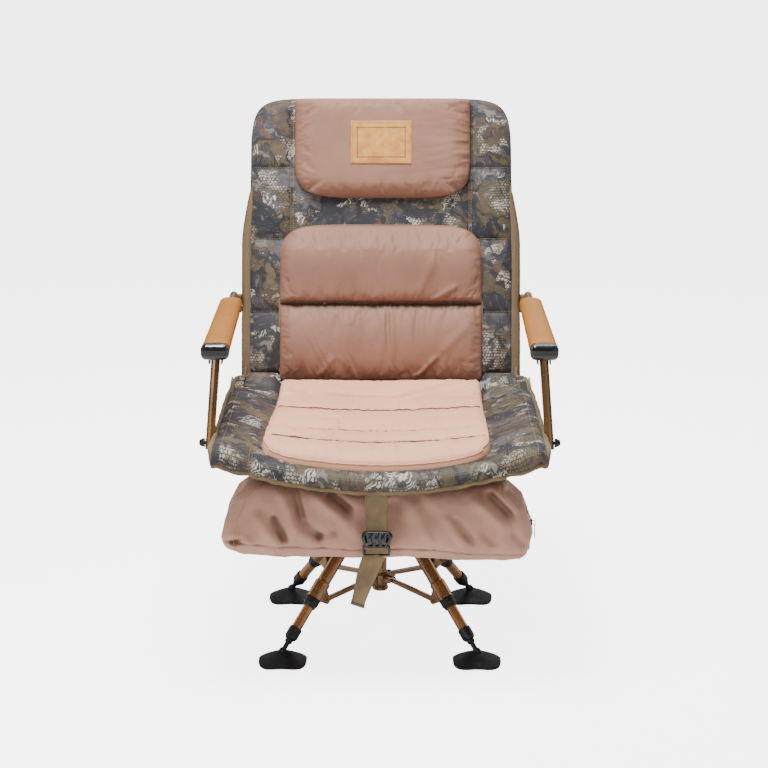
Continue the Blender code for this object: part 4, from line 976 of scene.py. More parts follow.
def back_pad():
    """Stuffed lumbar pad with one cross seam."""
    low, high, half, seam = 0.0045, 0.309, 0.1985, 0.156
    height = (high - low) / 2
    a, b, in_side, in_end = cushion_grid(half, height, (0.0026, 0.0024), 0.014, (6.2, 50))
    x = a * half
    up = low + height * (1 + b)
    side = in_side * half
    edge = np.minimum(side, in_end * height)
    across = up - seam
    shoulder = 1 - (1 - np.clip((high - up) / 0.05, 0, 1)) ** 1.6
    upper_dome = 1.16 * shoulder * (0.66 + 0.34 * ease(across / 0.09)) * edge_round(across, 0.012)
    lower_dome = 0.85 * dome((up - low) / (seam - low))
    rise = 0.0225 * edge_round(side, 0.028) * np.where(across > 0, upper_dome, lower_dome)
    rise += 0.0045 * edge_round(edge, 0.003) - 0.0042 * np.exp(-np.abs(across) / 0.0035)
    above, below = np.where(across > 0, across, 1), np.where(across < 0, -across, 1)
    fold = gathers((x, above, 0.012, 0.016, 0.005, 61, 0.55 + 0.45 * ease((x + 0.05) / 0.1)),
                   (x, below, 0.011, 0.022, 0.0036, 62, 1),
                   (x, below, 0.024, 0.070, 0.0042, 67, bell(x - 0.015, 0.075)),
                   (x + 0.4 * (up - low), up - low, 0.015, 0.030, 0.0054, 63, 1),
                   (x, high - up, 0.026, 0.026, 0.0012, 64, 1),
                   (up, side, 0.020, 0.020, 0.0016, 65, 1))
    fold += creases(x, up, (
        (0.020, 0.142, 0.026, 0.050, 0.005, 0.0032), (0.004, 0.140, 0.006, 0.066, 0.005, 0.0024),
        (-0.050, 0.140, -0.060, 0.112, 0.005, 0.0020), (0.105, 0.245, 0.070, 0.165, 0.009, 0.0028),
        (0.150, 0.190, 0.100, 0.160, 0.006, 0.0026), (0.070, 0.010, 0.110, 0.052, 0.005, 0.0034),
        (-0.120, 0.012, -0.090, 0.050, 0.007, 0.0026), (0.120, 0.060, 0.170, 0.110, 0.009, 0.0020)))
    slack = 0.002 * soft_noise(x / 0.055, up / 0.12, 66) * (across < 0)
    slack += 0.0012 * soft_noise(x / 0.10, up / 0.08, 68) * (across > 0)
    front = PAD_FACE - rise - (fold * tuck(across, 0.0022) + slack) * edge_round(edge, 0.006)
    pad = back_cushion("back_pad_soft", "back_pad", x, front, up, PAD_FACE + 0.004, TAUPE, (0, 1))
    stuff(pad, edge, seam=across)
    surface = front_lookup(pad, edge.shape)
    xs = np.linspace(0.003 - half, half - 0.003, 150)
    stitches("back_pad_stitches", [surface.run(xs, seam + 0.001)], "back", TAUPE_THREAD,
             0.0036, 0.0026, 0.00036)
    # Dark cord painted as the shadow in the cross seam.
    seam_shadow_cord("back_pad_seam_shadow", [surface.run(xs, seam - 0.0004)], "back")
    t = np.linspace(0, 1, 80, endpoint=False)
    u = np.concatenate((np.full(80, -1), 2 * t - 1, np.full(80, 1)))
    v = np.concatenate((1.9 * t - 0.9, np.full(80, 1), 1 - 1.9 * t))
    a, b = round_square(u, v, np.where(v > 0, 6.2, 50))
    path = back_point(a * (half + 0.0002), PAD_FACE - 0.003, low + height * (1 + b))
    sweep("back_pad_piping", resample(path, CORD_STEP), BACK_OUT, oval(0.003, 0.003, 8), "back", TAUPE)


# ---------------------------------------------------------------- seat

def front_bar(x):
    """Height of the front bar's centre line."""
    return SIDE_Z - FRONT_DROP * (1 - np.clip(np.abs(x) / SIDE_X, 0, 1) ** 2)


def cover_edge(y):
    """Half width of the seat cover from its front corners to its rear."""
    return np.interp(y, (-0.312, -0.29, -0.14, 0.01, 0.10, 0.15),
                     (0.2925, 0.292, 0.29, 0.2915, 0.29, 0.284))


def sling_height(x):
    """Height of the sagging seat cloth at a distance from the middle."""
    over = np.clip(np.abs(x) - SIDE_X, 0, None)
    return SLING_Z - SLING_SAG * (1 - np.clip(np.abs(x) / SIDE_X, 0, 1) ** 2) - 42 * over ** 2


def roll_over(x, y, over, lift):
    """Points on the seat cloth, rolled round the front bar by an angle."""
    radius = SLING_Z - SIDE_Z + lift
    drop = np.where(over <= 0, 0, radius * (1 - np.cos(over)))
    return join(x, np.where(over <= 0, y, FRONT_Y - radius * np.sin(over)), sling_height(x) + lift - drop)


def seat_cover():
    """Padded camouflage cover stretched over the seat frame, with its binding and stitches."""
    rear_y, roll_arc = 0.146, 0.03
    flat = rear_y - FRONT_Y
    length = flat + roll_arc
    u, w = np.meshgrid(spread(0.29, 0.003, 0.008), np.linspace(0, 1, 176), indexing="ij")
    along = w * length
    y = rear_y - np.minimum(along, flat)
    x = u * cover_edge(y)
    over = np.clip((along - flat) / roll_arc, 0, 1) * math.radians(118)
    edge = (1 - np.abs(u)) * 0.29
    tip = np.minimum(length - along, along)
    seam_x = np.abs(np.abs(x) - 0.223)
    front_part = ease((along - (flat - 0.06)) / 0.03)
    puff = np.where(np.abs(x) > 0.205, 0.0095 * dome((np.abs(x) - 0.196) / 0.097), 0.0045)
    puff *= (1 - 0.85 * front_part * np.exp(-seam_x / 0.005)) * tuck(tip + 0.001, 0.008)
    puff -= 0.0022 * np.exp(-np.abs(edge - 0.01) / 0.002) * (1 - front_part)
    fold = gathers((y + 0.3 * edge, edge, 0.018, 0.050, 0.0056, 71, 1 - front_part),
                   (x, np.clip(length - along, 0, 1), 0.014, 0.026, 0.004, 72, 1),
                   (x + y, seam_x, 0.012, 0.022, 0.0036, 74, front_part))
    fold += 0.0014 * soft_noise(x / 0.045, y / 0.03, 73)
    lift = 0.0012 + (puff + fold * tuck(edge, 0.006)) * edge_round(edge + 0.001, 0.006)
    upper = roll_over(x, y, over, lift)
    cover = shell("seat_cover", upper, roll_over(x, y, over, -0.0022), join(x, -along), "seat", CAMO_SEAT)
    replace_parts(cover, "seat_sling")
    edge_band(np.vstack((upper[0, 1:-11], upper[4:-4, -1], upper[-1, 1:-11][::-1])))

    normals = grid_normals(upper)
    normals *= np.sign(normals[len(normals) // 2, 20, 2])
    rows = [(int(np.argmin(np.abs(x[:, 140] - side * offset))), slice(150, -2))
            for side in (-1, 1) for offset in (0.219, 0.226)]
    rows += [(slice(8, -8), -7), (slice(8, -8), -8), (9, slice(4, -6)), (-10, slice(4, -6))]
    stitches("seat_cover_stitches", [(upper[row], normals[row]) for row in rows], "seat", THREAD)


def edge_band(edge):
    """Khaki binding along the sides and front of the seat cover."""
    pts = resample(smooth_path(edge, 4), 0.003)
    run = np.arange(len(pts)) * 0.003
    sideways = 1 - ease((np.abs(pts[:, 1]) - 0.29) / 0.03)
    side = sideways * np.sign(pts[:, 0])
    wobble = 0.0014 * soft_noise(run / 0.028, 0, 81, 2)
    heave = 0.0016 * soft_noise(run / 0.022, 0, 83, 2)
    pts += join(wobble * sideways + 0.0022 * side, wobble * (1 - sideways), heave + 0.0026 * sideways)
    sweep("seat_binding", pts, join(side, sideways - 1, 0.6), double_band(0.0104, 0.0086), "seat", KHAKI,
          scale=1 + 0.1 * soft_noise(run / 0.015, 0, 85, 2))


def frame_sleeve():
    """Camouflage cloth wrapped under the seat frame's sides and front bar."""
    left = join(-SIDE_X, np.linspace(0.1, -0.262, 40), SIDE_Z)
    xs = np.linspace(-0.245, 0.245, 70)
    path = np.vstack((left, join(xs, FRONT_Y, front_bar(xs)), left[::-1] * (-1, 1, 1)))
    pts = resample(smooth_path(path, 2), 0.005)
    run = np.arange(len(pts)) * 0.005
    corner = bell(np.abs(pts[:, 0]) - 0.262, 0.03) * ease((-0.22 - pts[:, 1]) / 0.05)
    pts += join(0, 0.004 * corner, -0.0065 * corner - 0.0006)
    radius = (0.0122 + 0.0055 * corner + 0.0004 * soft_noise(run / 0.02, 0, 91)
              - 0.001 * ease((np.abs(pts[:, 0]) - 0.27) / 0.006))
    sweep("seat_frame_sleeve", pts, UP, oval(2, 2, 20), "seat", CAMO_UNDER, scale=radius)


def seat_pad():
    """Stuffed cushion on the seat with cross seams, its piping and dark cords painted as the seams' shadows.
    """
    rear, front, half = 0.158, -0.284, 0.202
    depth = (rear - front) / 2
    a, b, in_side, in_end = cushion_grid(half, depth, (0.0026, 0.0026), 0.01, (9, 60))
    x = a * (0.2 + 0.005 * b) - 0.0035 * (1 + b)
    y = (rear + front) / 2 - b * depth
    side, end = in_side * half, in_end * depth
    edge = np.minimum(side, end)
    lower = sling_height(x) + 0.003 + 0.024 * ease((y - 0.09) / 0.06) * (1 - (x / 0.24) ** 2)
    dip = np.interp(y, (-0.284, -0.19, -0.12, 0.02, 0.155), (0.0235, 0.016, 0.0125, 0.007, 0))
    top = 0.435 - dip * (1 - (x / 0.205) ** 2) + 0.0205 * ease((y - 0.07) / 0.085)

    bow = 0.006 * (1 - (x / 0.2) ** 2)
    seams = ((0.02, 0.0075, 0.004, bow), (-0.118, 0.0042, 0.0034, 0), (-0.186, 0.0036, 0.0034, 0))
    curves, groove, fold = [], 0, 0
    for seed, (place, deep, width, bent) in enumerate(seams):
        curve = place - bent + 0.006 * soft_noise(x / 0.14, 0, 100 + seed, 1)
        curves.append(curve)
        groove += deep * np.exp(-np.abs(y - curve) / width)
        fold += gather(x, y - curve, 0.015, 0.014, 0.0022, 104 + seed) * tuck(y - curve, 0.002)
    borders = [rear, *curves, front]
    shares = [(y - near) / (far - near) for far, near in zip(borders, borders[1:])]
    puff = sum(0.0068 * dome(share) * ((share >= 0) & (share <= 1)) for share in shares)
    fold += gathers(
        (x + y, 0.355 - x - y, 0.010, 0.045, 0.0052, 110, ease((y - 0.04) / 0.05) * (x > 0)),
        (x - y, 0.355 + x - y, 0.012, 0.030, 0.0036, 115, ease((y - 0.06) / 0.05) * (x < 0)))
    fold -= 1.5 * creases(x, y, (
        (-0.158, 0.098, -0.040, 0.082, 0.0050, 0.0034), (-0.040, 0.082, 0.033, 0.080, 0.0045, 0.0030),
        (0.030, 0.080, 0.176, 0.146, 0.0050, 0.0036), (0.050, 0.064, 0.170, 0.112, 0.0060, 0.0030),
        (-0.185, 0.118, -0.120, 0.070, 0.0070, 0.0028), (-0.100, 0.128, -0.010, 0.112, 0.0060, 0.0022),
        (-0.135, -0.152, -0.030, -0.140, 0.0040, 0.0022), (0.020, -0.150, 0.130, -0.158, 0.0040, 0.0022),
        (-0.150, -0.060, -0.060, -0.050, 0.0060, 0.0014), (0.080, -0.056, 0.160, -0.040, 0.0060, 0.0014)))
    slack = 0.0012 * soft_noise(x / 0.09, y / 0.02, 111)
    slack += 0.0018 * soft_noise(x / 0.16, y / 0.014, 112) * ease((y - 0.03) / 0.05)
    thick = np.maximum(top + puff - groove + fold + slack - lower, 0.008)
    rim = gather(x, end, 0.013, 0.012, 0.003, 113) + gather(y, side, 0.014, 0.014, 0.0022, 114)
    wall = edge_round(edge, 0.0065) * (0.7 + 0.3 * edge_round(edge, 0.022))
    upper = lower + thick * wall + rim * edge_round(edge, 0.008)
    under = lower - 0.0005 * edge_round(edge, 0.01)
    # The seat pad's cloth is the lightest taupe copy: painted light.
    pad = shell("seat_pad_soft", join(x, y, upper), join(x, y, under), join(x, 2 - y), "seat", TAUPE_SEAT_PAINTED_LIGHT)
    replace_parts(pad, "seat_pad")
    nearest = np.min([np.abs(y - curve) for curve in curves], axis=0)
    stuff(pad, edge, 0.003, nearest, 1.5, 0.02)

    grid = front_grid(pad, edge.shape)
    inset, half_way = 4, edge.shape[1] // 2
    path = np.vstack((grid[inset, half_way:-inset], grid[inset:-inset, -inset],
                      grid[-inset - 1, half_way:-inset][::-1]))
    pieces = [pad, sweep("seat_pad_piping", resample(smooth_path(path, 1), CORD_STEP), UP,
                         oval(0.0026, 0.0024, 8), "seat", TAUPE_SEAT_PAINTED_LIGHT)]
    # Dark cords painted as shadow on the far wall of each seam's channel.
    runs = []
    for curve, (_, deep, width, _) in zip(curves, seams):
        far_side = curve[:, 0] + width * math.log(deep / 0.0017)
        z = [np.interp(at, row[::-1, 1], row[::-1, 2]) for at, row in zip(far_side, grid)]
        path = smooth_path(join(grid[:, 60, 0], far_side, np.array(z) + 0.0007)[6:-6], 1)
        runs.append((path, UP))
    for piece in pieces + seam_shadow_cord("seat_pad_seam_shadow", runs, "seat", 0.0024):
        squash_under_back(piece)


def bridge_cloth():
    """Cloth that closes the gap between the seat and the back, bound at its sides."""
    u, v = np.meshgrid(spread(0.27, 0.005, 0.01, 6), np.linspace(0, 1, 25), indexing="ij")
    x = u * (0.278 - 0.013 * v)
    side = ease((np.abs(x) - 0.185) / 0.03)
    start = join(x, 0.138, sling_height(x) + 0.0005)
    middle = join(x, 0.172, 0.408 + 0.033 * side)
    end = back_point(x, -0.004 - 0.012 * side, 0.02)
    t = v[..., None]
    centre = start * (1 - t) ** 2 + middle * 2 * t * (1 - t) + end * t ** 2
    normal = grid_normals(centre)
    normal *= np.where(normal[..., 2:] < 0, -1, 1)
    edge = (1 - np.abs(u)) * 0.27
    fold = (0.0022 * np.sin(v * math.pi * 3) + 0.001 * soft_noise(x / 0.03, v * 4, 121)) * side
    fold = (fold * tuck(edge, 0.01))[..., None]
    thick = 0.0022 * (edge_round(edge, 0.004) * edge_round(np.minimum(v, 1 - v) * 0.08, 0.004))[..., None]
    upper = centre + normal * (fold + thick)
    cloth = join(x, v * 0.085 + 3)
    pieces = [shell("seat_back_bridge", upper, centre + normal * (fold - thick), cloth, None, CAMO_SEAT)]
    for side, row in ((-1, 0), (1, -1)):
        path = np.vstack((upper[row, 2:-1], back_point(x[row, -1:], -0.014, 0.03)))
        pieces.append(sweep("bridge_binding_" + TAGS[side], resample(smooth_path(path, 1), CORD_STEP),
                            (side, 0, 0.3), double_band(0.0076, 0.0042), None, KHAKI))
    for piece in pieces:
        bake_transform(piece)


def corner_flap(side):
    """Bound corner of the seat cover lapped over the back's hinge."""
    u, v = np.meshgrid(np.linspace(0, 1, 15), np.linspace(0, 1, 25), indexing="ij")
    x = side * (0.264 + 0.0235 * u - 0.006 * u * v)
    y = 0.104 + 0.07 * v
    z = 0.4405 + 0.0155 * ease(v / 0.55) - 0.002 * ease((u - 0.6) / 0.4)
    z += 0.001 * soft_noise(u * 2, v * 3, 171)
    upper = join(x, y, z + 0.0011)[::side]
    lower = join(x, y, z - 0.004)[::side]
    flap = shell("seat_corner_" + TAGS[side], upper, lower, join(x, -y)[::side], "seat", CAMO_SEAT)
    outer, rear = (upper[0], upper[:, -1]) if side < 0 else (upper[-1], upper[::-1, -1])
    pts = resample(smooth_path(np.vstack((outer, rear[1:])), 2), 0.003)
    band = sweep("seat_corner_binding_" + TAGS[side], pts, UP, double_band(0.008, 0.0058), "seat", KHAKI)
    for piece in (flap, band):
        squash_under_back(piece)


# ---------------------------------------------------------------- bag, strap and buckle

def bag_end(z, side):
    """How far the bag reaches to the left or the right at a height."""
    heights, reaches = {
        1: ((0.222, 0.228, 0.258, 0.270, 0.294, 0.322, 0.350, 0.364, 0.380),
            (0.2450, 0.2630, 0.2660, 0.2695, 0.2675, 0.2570, 0.2280, 0.2290, 0.2200)),
        -1: ((0.226, 0.232, 0.245, 0.266, 0.302, 0.322, 0.338, 0.364, 0.380),
             (0.2300, 0.2560, 0.2770, 0.2810, 0.2730, 0.2630, 0.2550, 0.2250, 0.2150))}[side]
    return np.interp(z, heights, reaches)


def bag_seam(x):
    """Height of the bag's bottom seam."""
    return np.interp(x, (-0.27, -0.18, -0.07, 0.09, 0.16, 0.26), (0.262, 0.256, 0.25, 0.249, 0.239, 0.239))


def bag_folds(x, z):
    """Diagonal drag folds on the bag's front."""
    slow = 0.0034 * soft_noise(x / 0.06, z / 0.05, 141) + 0.0014 * soft_noise(x / 0.022, z / 0.03, 142)
    return slow + 1.25 * creases(x, z, (
        (-0.188, 0.309, -0.165, 0.263, 0.0070, -0.0110), (-0.217, 0.313, -0.180, 0.262, 0.0090, 0.0060),
        (-0.152, 0.361, -0.135, 0.297, 0.0080, -0.0100), (-0.135, 0.297, -0.100, 0.269, 0.0070, -0.0090),
        (-0.173, 0.353, -0.146, 0.281, 0.0090, 0.0070), (-0.092, 0.347, -0.048, 0.315, 0.0085, -0.0120),
        (-0.118, 0.349, -0.032, 0.281, 0.0110, 0.0070), (-0.262, 0.258, -0.240, 0.273, 0.0060, -0.0090),
        (-0.258, 0.279, -0.222, 0.262, 0.0070, 0.0070), (-0.108, 0.273, -0.074, 0.285, 0.0060, -0.0060),
        (-0.075, 0.300, -0.100, 0.268, 0.0060, 0.0045), (0.170, 0.338, 0.223, 0.290, 0.0100, 0.0090),
        (0.190, 0.350, 0.236, 0.306, 0.0070, -0.0090), (0.132, 0.305, 0.166, 0.261, 0.0070, -0.0060),
        (0.118, 0.308, 0.148, 0.262, 0.0080, 0.0050), (0.234, 0.282, 0.256, 0.255, 0.0060, -0.0050),
        (0.021, 0.337, 0.044, 0.281, 0.0140, -0.0070), (0.060, 0.350, 0.100, 0.300, 0.0130, -0.0060),
        (0.075, 0.290, 0.095, 0.262, 0.0080, 0.0040), (0.180, 0.285, 0.205, 0.258, 0.0080, -0.0045)))


def storage_bag():
    """Sagging taupe bag under the front of the seat."""
    half = 0.275
    along = spread(half, 0.0034, 0.03, 12)
    inner = np.array((0.03, 0.25, 0.45, 0.62, 0.76, 0.87, 0.95))
    shrink = np.concatenate((inner, np.ones(len(along)), inner[::-1]))[:, None]
    along = np.pad(along, len(inner), "edge")
    s, angle = np.meshgrid(along, ring_angles(190), indexing="ij")
    end = np.clip(1 - np.abs(s), 0, 1) * half
    close = 0.62 + 0.38 * edge_round(end, 0.03)
    floor = 0.2235 + 0.006 * np.clip(-s, 0, 1) ** 3 - 0.0055 * ease((s - 0.2) / 0.4)
    roof = 0.358 + 0.012 * s ** 2
    a, b = round_box(angle, 3.6)
    z = (floor + roof) / 2 + (roof - floor) / 2 * b * (0.35 + 0.65 * close)
    x = s * np.where(s < 0, bag_end(z, -1), bag_end(z, 1))
    y = -0.2065 + 0.0745 * a * close * (1 - 0.1 * ease((b + 1) / 2))
    front = ease((-a - 0.1) / 0.5)
    from_seam = z - bag_seam(x)
    relief = 0.007 * bell(z - 0.272, 0.045) + bag_folds(x, z) * ease(end / 0.012)
    relief += gather(x, from_seam, 0.012, 0.012, 0.0022, 144) - 0.0042 * np.exp(-np.abs(from_seam) / 0.0022)
    y -= relief * front
    z -= 0.0026 * soft_noise(x / 0.045, 0, 131) * (b < -0.5)
    points = join(x, y, z)
    centre = points.mean(axis=1, keepdims=True)
    points = centre + (points - centre) * shrink[..., None]
    points[..., 0] += np.sign(s) * 0.0035 * (1 - shrink ** 2)
    cloth = join(x, z * front + y * (1 - front) + 4, front)
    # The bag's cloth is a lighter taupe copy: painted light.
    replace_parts(tube("storage_bag_soft", points, cloth, "seat", TAUPE_BAG_PAINTED_LIGHT), "storage_bag")
    bag_trim(points)


def bag_trim(points):
    """Cords on the end seams, the short side seam and the zip tape of the bag."""
    for side, row in ((-1, 16), (1, -15)):
        loop = resample(points[row], CORD_STEP, closed=True)
        sweep("bag_end_cord_" + TAGS[side], loop, loop - loop.mean(axis=0), oval(0.0022, 0.0022, 8),
              "seat", TAUPE_BAG_PAINTED_LIGHT, closed=True)
    line = points[np.argmin(np.abs(points[:, points.shape[1] // 2, 0] + 0.185))]
    line = line[(line[:, 2] < 0.256) & (line[:, 1] < -0.225)]
    cord = resample(smooth_path(line[np.argsort(line[:, 2])], 1), 0.003)
    sweep("bag_short_seam", cord, (0, -1, -0.2), oval(0.0018, 0.0018, 8), "seat", TAUPE_BAG_PAINTED_LIGHT)
    tape_z = np.linspace(0.312, 0.24, 30)
    tape = join(bag_end(tape_z, 1) + 0.0006, -0.242, tape_z)
    outward = np.tile((1, 0, 0), (30, 1))
    sweep("zip_tape", tape, outward, oval(0.015, 0.0016, 12, 4), "seat", (DARK_BIND_AND_SHADE, "zip_metal"))
    stitches("zip_teeth", [(tape + (0.001, 0, 0), outward)], "seat", STEEL, 0.0022, 0.0014, 0.0013)


def zip_pull():
    """Slider, ring and hanging tab of the bag's zip."""
    low, high = node_box("zipper_pull")
    x, y, z = high.x - 0.001, (low.y + high.y) / 2, high.z - 0.004
    turn = ring_angles(28)
    t = np.linspace(0, 1, 14)
    slider = join(x - 0.0015, y, np.linspace(z + 0.0045, z - 0.0065, 8))
    ring = join(x + 0.0036 + 0.0034 * np.cos(turn), y, z - 0.002 + 0.004 * np.sin(turn))
    tab = join(x + 0.0044 + 0.0006 * t ** 2, y, z - 0.005 - 0.025 * t)
    steel = STEEL, "zip_metal"
    piece = sweep("zip_slider", slider, (1, 0, 0), oval(0.0085, 0.0044, 14, 3), "zip", steel,
                  scale=pinch_ends(8, 0.35))
    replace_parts(piece, "zipper_pull")
    sweep("zip_ring", ring, (0, 1, 0), oval(0.001, 0.001, 8), "zip", steel, closed=True)
    sweep("zip_tab", tab, (1, 0, 0), oval(0.0062, 0.0018, 12, 3), "zip", steel,
          scale=(0.7 + 0.3 * ease(t / 0.8)) * pinch_ends(14, 0.3))


def strap():
    """Webbing from the front bar to the buckle."""
    low, high = node_box("front_strap")
    x, y = (low.x + high.x) / 2, (low.y + high.y) / 2
    top = front_bar(x)
    path = [(x, -0.3105, top + 0.004), (x, -0.3118, top - 0.01), (x, y - 0.0075, top - 0.03),
            (x, y - 0.0035, 0.318), (x, y - 0.001, 0.3), (x, y, low.z + 0.0015)]
    web = sweep("front_strap_webbing", resample(smooth_path(path), 0.003), FORWARD,
                band_profile(0.0385, 0.0022), "seat", KHAKI)
    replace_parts(web, "front_strap")


def strap_tail():
    """Loose strap end that hangs from the buckle, twisted and cut on a slant."""
    half, cut = 0.019, 0.0055
    path = smooth_path([(-0.0075, -0.3015, 0.25), (-0.011, -0.304, 0.242), (-0.0222, -0.305, 0.214),
                        (-0.033, -0.303, 0.178), (-0.0392, -0.301, 0.152)])
    pts = resample(path, 0.0025)
    t = np.linspace(0, 1, len(pts))
    turn = np.radians(14 + 42 * ease(t / 0.9))
    ahead = unit(np.gradient(pts, axis=0))
    across = unit(np.cross(ahead, join(-np.sin(turn), -np.cos(turn), 0)))
    across *= np.sign(across[:, :1])
    normal = np.cross(across, ahead)
    wide, thick = np.array(band_profile(2 * half, 0.0021)).T[:, None, :, None]
    slant = (cut * ease((t - 0.6) / 0.4))[:, None, None] * wide / half
    rings = pts[:, None] + across[:, None] * wide + normal[:, None] * thick - ahead[:, None] * slant
    cloth = join(wide[..., 0], np.arange(len(pts))[:, None] * 0.0025 + 0.7, 0)
    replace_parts(tube("strap_tail_webbing", rings, cloth, "buckle", KHAKI), "strap_tail")
    s = np.linspace(-1, 1, 16)[:, None]
    hem = rings[-3].mean(axis=0) + across[-3] * 0.0185 * s - ahead[-3] * cut * 0.97 * s
    sweep("strap_tail_hem", hem, normal[-3], oval(0.0034, 0.0036, 10, 3), "buckle",
          (DARK_BIND_AND_SHADE, "khaki_webbing"))


# Buckle bars: name, width, thickness and points, each (x, depth in front of BUCKLE_Y, z)
BUCKLE_Y = -0.3
SOCKET_BARS = (
    ("back_plate", 0.04, 0.0036, (-0.005, -0.002, 0.288), (-0.005, -0.002, 0.2672)),
    ("top_bar", 0.0056, 0.008, (-0.0285, 0, 0.2868), (0.0185, 0, 0.2868)),
    ("claw_left", 0.0072, 0.0085, (-0.0262, 0, 0.2875), (-0.029, 0.0015, 0.279), (-0.0255, 0.001, 0.267)),
    ("claw_right", 0.0074, 0.0085, (0.0162, 0, 0.2875), (0.0208, 0.0015, 0.28), (0.014, 0.001, 0.267)),
    ("rib_left", 0.006, 0.0066, (-0.0135, 0.002, 0.2868), (-0.0175, 0.0045, 0.278), (-0.015, 0.003, 0.2675)),
    ("rib_mid", 0.006, 0.0066, (-0.002, 0.002, 0.2868), (-0.0055, 0.005, 0.2775), (-0.003, 0.003, 0.2675)),
    ("rib_right", 0.0058, 0.0066, (0.008, 0.002, 0.2868), (0.0055, 0.0045, 0.2775), (0.007, 0.003, 0.2675)))
PLUG_BARS = (
    ("plug_bar", 0.0056, 0.0085, (-0.027, 0.001, 0.2625), (0.0165, 0.001, 0.2625)),
    ("rail_left", 0.005, 0.007, (-0.0268, 0, 0.264), (-0.0285, 0.0005, 0.256), (-0.0275, 0, 0.247)),
    ("rail_right", 0.005, 0.007, (0.0163, 0, 0.264), (0.018, 0.0005, 0.256), (0.017, 0, 0.247)),
    ("low_bar", 0.0042, 0.0075, (-0.0285, 0, 0.2475), (0.018, 0, 0.2475)))


def buckle():
    """Side-release buckle: claws above, ladder bars below, with the strap looped between."""
    for bars, body, hidden in ((SOCKET_BARS, "seat", "socket"), (PLUG_BARS, "buckle", "plug")):
        for name, width, thick, *points in bars:
            path = smooth_path([(x, BUCKLE_Y - depth, z) for x, depth, z in points])
            pts = resample(path, 0.0012)
            line = np.abs(pts[-1] - pts[0])
            pinch = 0.25 if line[2] > line[0] else 0.1
            piece = sweep("buckle_" + name, pts, FORWARD, oval(width, thick, 16, 3.2), body,
                          (GLOSS, "black_plastic"), scale=pinch_ends(len(pts), pinch))
            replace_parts(piece, "buckle_" + hidden)
    xs = np.linspace(-0.0235, 0.0135, 20)
    loop = join(xs, BUCKLE_Y - 0.0046 - 0.0012 * np.cos((xs + 0.005) / 0.02), 0.255)
    sweep("buckle_strap_loop", loop, FORWARD, oval(0.0092, 0.0026, 14, 3), "buckle", KHAKI)


# ---------------------------------------------------------------- feet and arms

def foot_ribs(index):
    """Ribs that run from a foot's socket out to the lobes of its rubber pad."""
    low, high = node_box(f"foot_pad_{index}")
    centre = (low + high) / 2
    for number in range(4):
        turn = math.pi / 2 * number
        path = [(centre.x + out * math.cos(turn), centre.y + out * math.sin(turn), low.z + height)
                for out, height in ((0.011, 0.0178), (0.018, 0.016), (0.03, 0.0098), (0.042, 0.0038))]
        pts = resample(smooth_path(path), 0.0015)
        sweep(f"foot_rib_{index}_{number + 1}", pts, UP, oval(0.0042, 0.0046, 10, 2.4), f"foot_{index}",
              (RUBBER, "rubber"), scale=np.linspace(1, 0.55, len(pts)))


def arm_pad(side):
    """Padded cloth sleeve on an arm."""
    pivot = joint_origin("arm_swing_" + TAGS[side])
    tilt = math.atan2(0.012, joint_origin("back_fold").y + 0.205)
    start, stop = -0.0335, 0.333
    half = (stop - start) / 2
    s, angle = np.meshgrid(spread(half, 0.004, 0.008, 6), ring_angles(64), indexing="ij")
    along = start + half * (1 + s)
    end = (1 - np.abs(s)) * half
    close = edge_round(end, 0.008) ** 0.8
    a, b = round_box(angle, 3)
    share = (along - start) / (stop - start)
    wide = (0.0245 - 0.003 * share) * (0.8 + 0.2 * close)
    tall = (0.0138 - 0.0008 * share) * (0.72 + 0.28 * close)
    wrinkle = gather(angle * 0.02, end, 0.004, 0.018, 0.0007, 151)
    wrinkle += 0.0004 * soft_noise(along / 0.03, angle * 1.2, 152)
    sew = 0.024 * bell(np.abs(a) - 0.97, 0.06) * bell(b + 0.15, 0.12)
    x = (wide + wrinkle) * a * (1 - sew)
    z = 0.025 + (tall + wrinkle) * b + 0.001 * (b > 0) * (1 - a ** 2)
    c, sn = math.cos(tilt), math.sin(tilt)
    points = join(side * 0.289 + x, pivot.y + along * c - z * sn, pivot.z + along * sn + z * c)
    cloth = join(0.0021 * np.arange(1, 65), along, 0)
    pad = tube("arm_sleeve_" + TAGS[side], points, cloth, "arm_" + TAGS[side], SLEEVE)
    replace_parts(pad, "arm_pad_" + TAGS[side])


# ---------------------------------------------------------------- stage

FLOOR_REACH = 60.0
FLOOR_GLOW = 4.2
WORLD_LIGHT = 0.26
SEEN_WHITE = 4.6
WHITE = (1.0, 1.0, 1.0, 1.0)


def link(name, data, place=(0, 0, 0), turn=(0, 0, 0)):
    """Add an object to the scene."""
    obj = bpy.data.objects.new(name, data)
    obj.location = place
    obj.rotation_euler = turn
    bpy.context.scene.collection.objects.link(obj)
    return obj


def floor():
    """Pale floor that the camera sees as bright as the world round it."""
    mesh = bpy.data.meshes.new("floor")
    corners = [(x * FLOOR_REACH, y * FLOOR_REACH, 0) for x, y in ((-1, -1), (1, -1), (1, 1), (-1, 1))]
    mesh.from_pydata(corners, [], [(0, 1, 2, 3)])
    net = Net("floor_paper")
    tint = net.mix(net.noise(net.position(), 300.0), (0.86, 0.86, 0.86, 1.0), (0.90, 0.90, 0.90, 1.0))
    seen = net.node("LightPath").outputs["Is Camera Ray"]
    mesh.materials.append(net.finish(Base_Color=tint, Roughness=0.9, Emission_Color=WHITE,
                                     Emission_Strength=net.times(seen, FLOOR_GLOW)))
    link("floor", mesh)


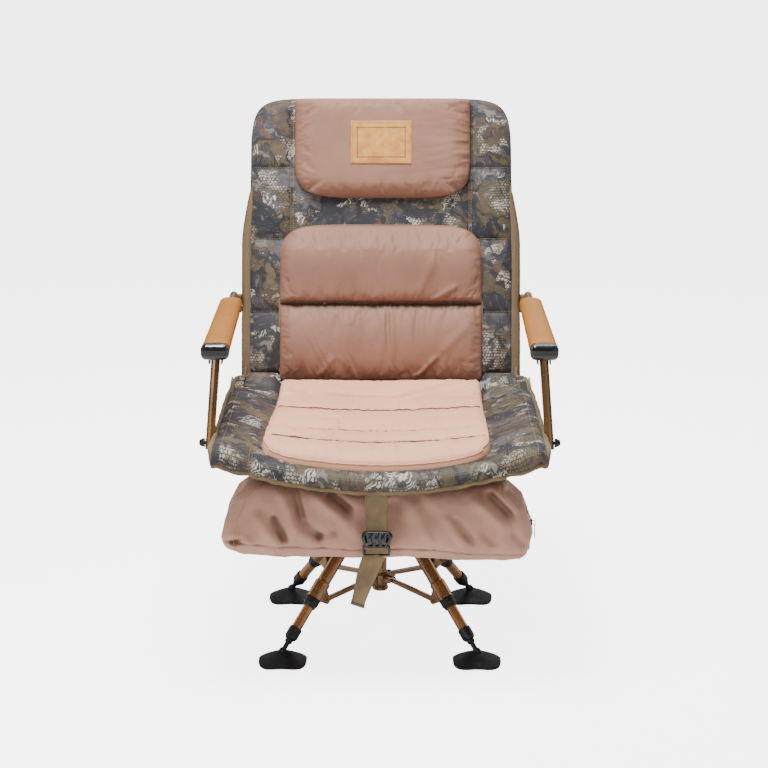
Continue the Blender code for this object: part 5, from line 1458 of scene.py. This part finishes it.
def world():
    """Even light, which the camera sees as white."""
    studio = bpy.data.worlds.new("studio")
    studio.use_nodes = True
    nodes, links = studio.node_tree.nodes, studio.node_tree.links
    glow = nodes["Background"]
    glow.inputs[0].default_value = WHITE
    ray, choice = nodes.new("ShaderNodeLightPath"), nodes.new("ShaderNodeMix")
    choice.inputs[2].default_value = WORLD_LIGHT
    choice.inputs[3].default_value = SEEN_WHITE
    links.new(ray.outputs["Is Camera Ray"], choice.inputs[0])
    links.new(choice.outputs[0], glow.inputs[1])
    bpy.context.scene.world = studio


def area(name, place, size, power, height=0.5):
    """A square soft light aimed at the chair at a height."""
    light = bpy.data.lights.new(name, "AREA")
    light.size = size
    light.energy = power
    aim = Vector((0, 0, height)) - Vector(place)
    link(name, light, place, aim.to_track_quat("-Z", "Y").to_euler())


def camera():
    """Long lens in front of the chair, looking a little down."""
    lens = bpy.data.cameras.new("camera")
    lens.sensor_width = 36
    lens.lens = 98.10
    lens.shift_x = 0.00489
    lens.shift_y = 0.00386
    turn = (math.radians(76.6305), 0, math.radians(0.2901))
    bpy.context.scene.camera = link("camera", lens, (0.01925, SWIVEL_Y - 3.80265, 1.382), turn)


def stage():
    """Pale floor, soft lights and the camera."""
    floor()
    world()
    area("top", (-0.2, -0.48, 2.75), 0.95, 128, 0.45)
    area("key", (-1.9, -2.5, 1.9), 1.1, 34)
    area("fill", (2.0, -2.2, 1.2), 1.6, 7)
    area("rim_left", (-2.2, 0.9, 1.5), 0.9, 7)
    area("rim_right", (2.2, 0.9, 1.5), 0.9, 7)
    area("rear", (0.3, 2.2, 2.2), 1.6, 26)
    camera()


def dress():
    """Every soft piece."""
    back_cover()
    label(headrest())
    back_pad()
    seat_cover()
    frame_sleeve()
    seat_pad()
    bridge_cloth()
    storage_bag()
    zip_pull()
    strap()
    strap_tail()
    buckle()
    for index in range(1, 5):
        foot_ribs(index)
    for side in TAGS:
        side_sleeve(side)
        corner_flap(side)
        arm_pad(side)


paint_frame()
dress()
stage()
